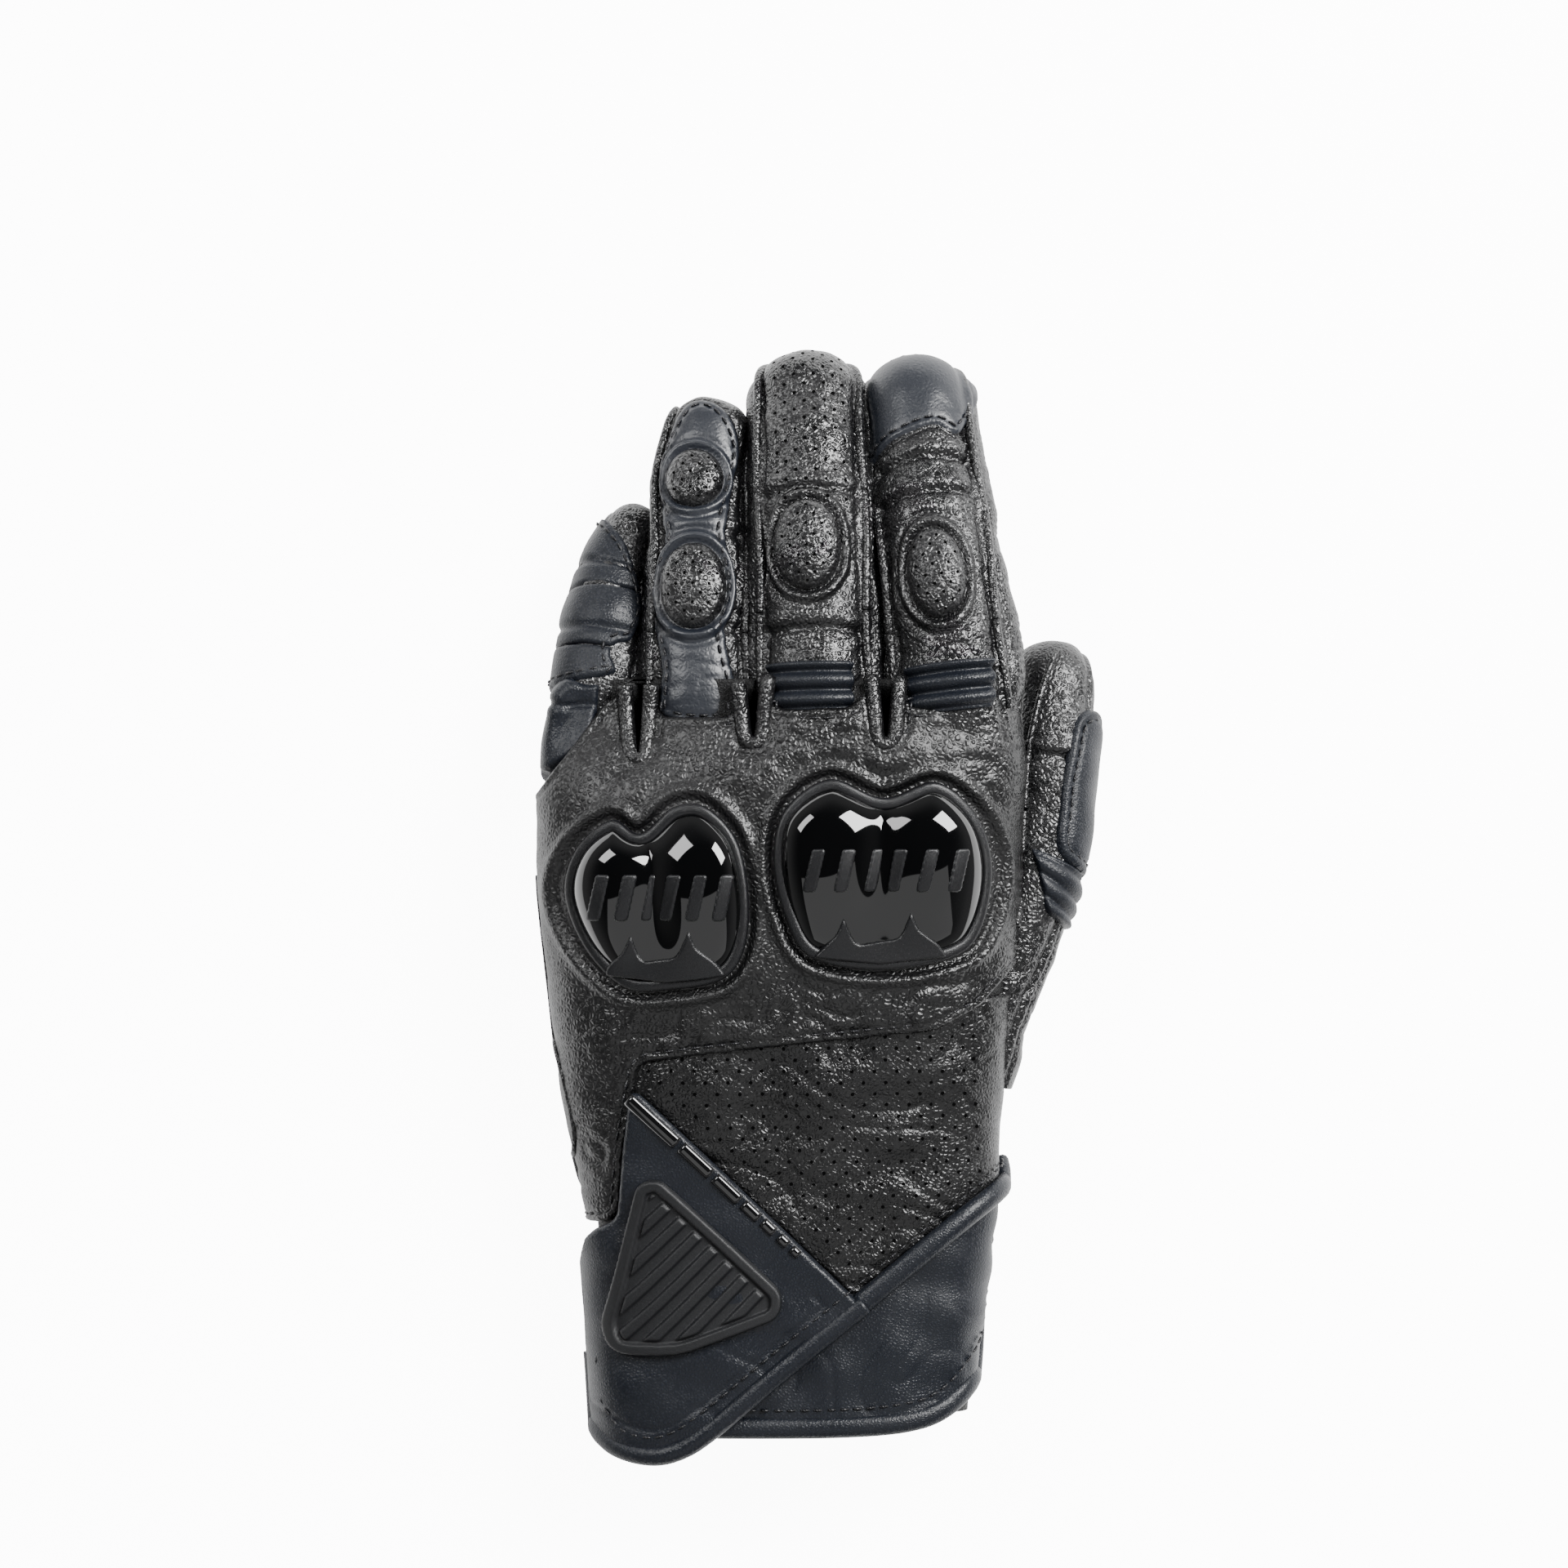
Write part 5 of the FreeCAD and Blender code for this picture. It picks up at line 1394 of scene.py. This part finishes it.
base_line, tuck = hand_outline(GUARD_BASE, 1.6), quilt([45.6 + HOME[1]])
made = panel("little_guard_hand", HAND, base_line, -0.3, 2.3, edge=1.4, relief=tuck)
settle(made, SMOOTH_LEATHER, "hand", "little_guard_base", fill=0.4)
little = DIGITS["little"]
tucks = quilt([little.sleeve.v_of_y(y + HOME[1]) for y in (62.6, 76.6)])
guard_line = curve(inset(OUTLINES["little"], 1.0))
for number, first, last in little.lengths():
    rows = np.clip(guard_line[:, 1], first, last)
    part = evenly(np.stack([guard_line[:, 0], rows], axis=-1), 0.6, closed=True)
    if np.ptp(part[:, 1]) < 3:
        continue
    made = panel(f"little_guard_{number + 1}", little.sleeve, part, 0.0, 1.3, edge=0.9, relief=tucks)
    settle(made, SMOOTH_LEATHER, little.bends[number], *(["little_guard_middle"] if number == 1 else []))

THUMB_GUARD = (
    (53.4, 13), (53.4, 24), (55.2, 35), (58, 44), (62, 45.6), (70, 34), (69, 14), (60, 10),
)
thumb = DIGITS["thumb"]
thumb_line = curve(on_digit("thumb", THUMB_GUARD))


def thumb_guard_relief(u, v, depth, points):
    """The thumb guard's leather: a slow swell, and a stitched groove inside its edge."""
    return 0.2 * waves(points, 14, 93) - 0.4 * hump(depth - 2.4, 0.5)


made = panel("thumb_guard_leather", thumb.sleeve, thumb_line, -0.2, 1.5, edge=1.4, relief=thumb_guard_relief)
settle(made, SMOOTH_LEATHER, thumb.bends[1], "thumb_guard", fill=0.3)
made = stitches("thumb_guard_thread", thumb.sleeve, inset(thumb_line, 2.4), 1.3, closed=True)
settle(made, THREAD, thumb.bends[1])
THUMB_SEAM = ((53.4, 57.6), (50.6, 51.0), (47.8, 40.0), (46.4, 28.0), (45.4, 12.0))
thumb_seam = on_digit("thumb", curve(THUMB_SEAM, closed=False))
for number, first, last in thumb.lengths():
    part = thumb_seam[(thumb_seam[:, 1] >= first) & (thumb_seam[:, 1] <= last)]
    if len(part) > 5:
        made = welt(f"thumb_roll_{number + 1}", thumb.sleeve, part, 0.5, 0.75, 0.8)
        settle(made, FINGER_LEATHER, thumb.bends[number])
THUMB_RIBS = ((46.6, 14.0), (58.0, 11.0), (60.5, -1.0), (50.0, 1.5))
ribs_line, ribs = rounded(on_digit("thumb", THUMB_RIBS), 1.5), ribbed(1.1, 0.0, 3.4, 0.7, slant=0.25)
made = panel("thumb_stretch_ribs", thumb.sleeve, ribs_line, -0.2, 0.6, edge=0.8, relief=ribs, cell=0.3)
settle(made, SMOOTH_LEATHER, thumb.bends[0])

HEEL = ((-36.0, -55.0), (18.0, -55.0), (20.0, -20.0), (10.0, 0.0), (-30.0, 2.0), (-38.0, -20.0))
heel_line = rounded(HEEL, 8.0) + HOME
# u counts on from the thumb side's edge to the underside
heel_uv = np.array([(HAND.girth(y) - (x + 7.5 - HOME[0]), y) for x, y in heel_line])
made = panel("palm_heel_suede", HAND, heel_uv, -0.2, 1.2, edge=0.8)
settle(made, PALM_LEATHER, "hand", "palm_heel_patch")

# ---------------------------------------------------------------- seams of thread

made = stitches("back_panel_thread", HAND, inset(back_line, 2.3)[40:], 2.35)
settle(made, THREAD, "hand", slot="grained_leather")
made = stitches("heel_thread", HAND, inset(heel_uv, 2.2), 1.2, closed=True)
settle(made, THREAD, "hand", slot="palm_leather")
EDGE_THREADS = {"ring": (1.7, 1.05), "index": (1.7, 1.05), "little": (2.8, 1.45)}  # from the edge, lift
for finger, (margin, lift) in EDGE_THREADS.items():
    digit, ring = DIGITS[finger], inset(OUTLINES[finger], margin)
    for number, first, last in digit.lengths():
        inside = (ring[:, 1] >= first) & (ring[:, 1] < last)
        turns = np.flatnonzero(np.diff(np.concatenate([[0], inside.astype(int), [0]])))
        for side, (a, b) in enumerate(zip(turns[::2], turns[1::2])):
            if b - a > 6:
                made = stitches(f"{finger}_thread_{number + 1}_{side + 1}", digit.sleeve, ring[a:b], lift)
                settle(made, THREAD, digit.bends[number])

# ---------------------------------------------------------------- floor, light and camera

floor_mesh = bpy.data.meshes.new("floor")
floor_mesh.from_pydata([(-3, -3, 0), (3, -3, 0), (3, 3, 0), (-3, 3, 0)], [], [(0, 1, 2, 3)])
floor = bpy.data.objects.new("floor", floor_mesh)
bpy.context.scene.collection.objects.link(floor)
floor_white = plastic("studio_floor", (0.93, 0.93, 0.93), 0.9)
floor_shader = floor_white.node_tree.nodes["Principled BSDF"]
floor_shader.inputs["Emission Color"].default_value = (1.0, 1.0, 1.0, 1.0)
seen = floor_white.node_tree.nodes.new("ShaderNodeLightPath").outputs["Is Camera Ray"]
glow = between(floor_white.node_tree, seen, 0.0, 1.0, 0.9, 11.0)
feed(floor_white.node_tree, floor_shader.inputs["Emission Strength"], glow)
floor_mesh.materials.append(floor_white)

world = bpy.data.worlds.new("studio")
bpy.context.scene.world = world
world.use_nodes = True
tree = world.node_tree
sky = tree.nodes.new("ShaderNodeSeparateXYZ")
feed(tree, sky.inputs[0], tree.nodes.new("ShaderNodeTexCoord").outputs["Generated"])
tree.nodes["Background"].inputs["Color"].default_value = (1.0, 1.0, 1.0, 1.0)
glow = between(tree, sky.outputs[2], 0.15, 0.85, to_low=0.28, to_high=0.02)
feed(tree, tree.nodes["Background"].inputs["Strength"], glow)

AIM = Vector((0, 0, 0.03))
LAMPS = {  # place, width, height, watts
    "window_left": ((-0.8, 0.75, 1.15), 0.8, 0.5, 13.0),
    "window_right": ((0.85, 0.75, 1.1), 0.8, 0.7, 52.0),
    "near_side": ((0.1, -0.75, 1.15), 1.9, 1.0, 5.0),
}
for name, (place, wide, high, watts) in LAMPS.items():
    lamp = bpy.data.lights.new(name, "AREA")
    lamp.shape, lamp.size, lamp.size_y, lamp.energy = "RECTANGLE", wide, high, watts
    soft_box = bpy.data.objects.new(name, lamp)
    soft_box.location = place
    soft_box.rotation_euler = (AIM - Vector(place)).to_track_quat("-Z", "Y").to_euler()
    bpy.context.scene.collection.objects.link(soft_box)

VIEW_WIDE, SENSOR_WIDE = 0.3456, 36  # metres across the view, and the sensor in mm
camera = bpy.data.objects.new("camera", bpy.data.cameras.new("camera"))
camera.data.lens = 120
centre = (np.array(cad_low) + np.array(cad_high)) / 2
distance = VIEW_WIDE * camera.data.lens / SENSOR_WIDE
camera.location = (centre[0] - 0.0086, centre[1] + 0.0275, distance + 0.03)
bpy.context.scene.collection.objects.link(camera)
bpy.context.scene.camera = camera
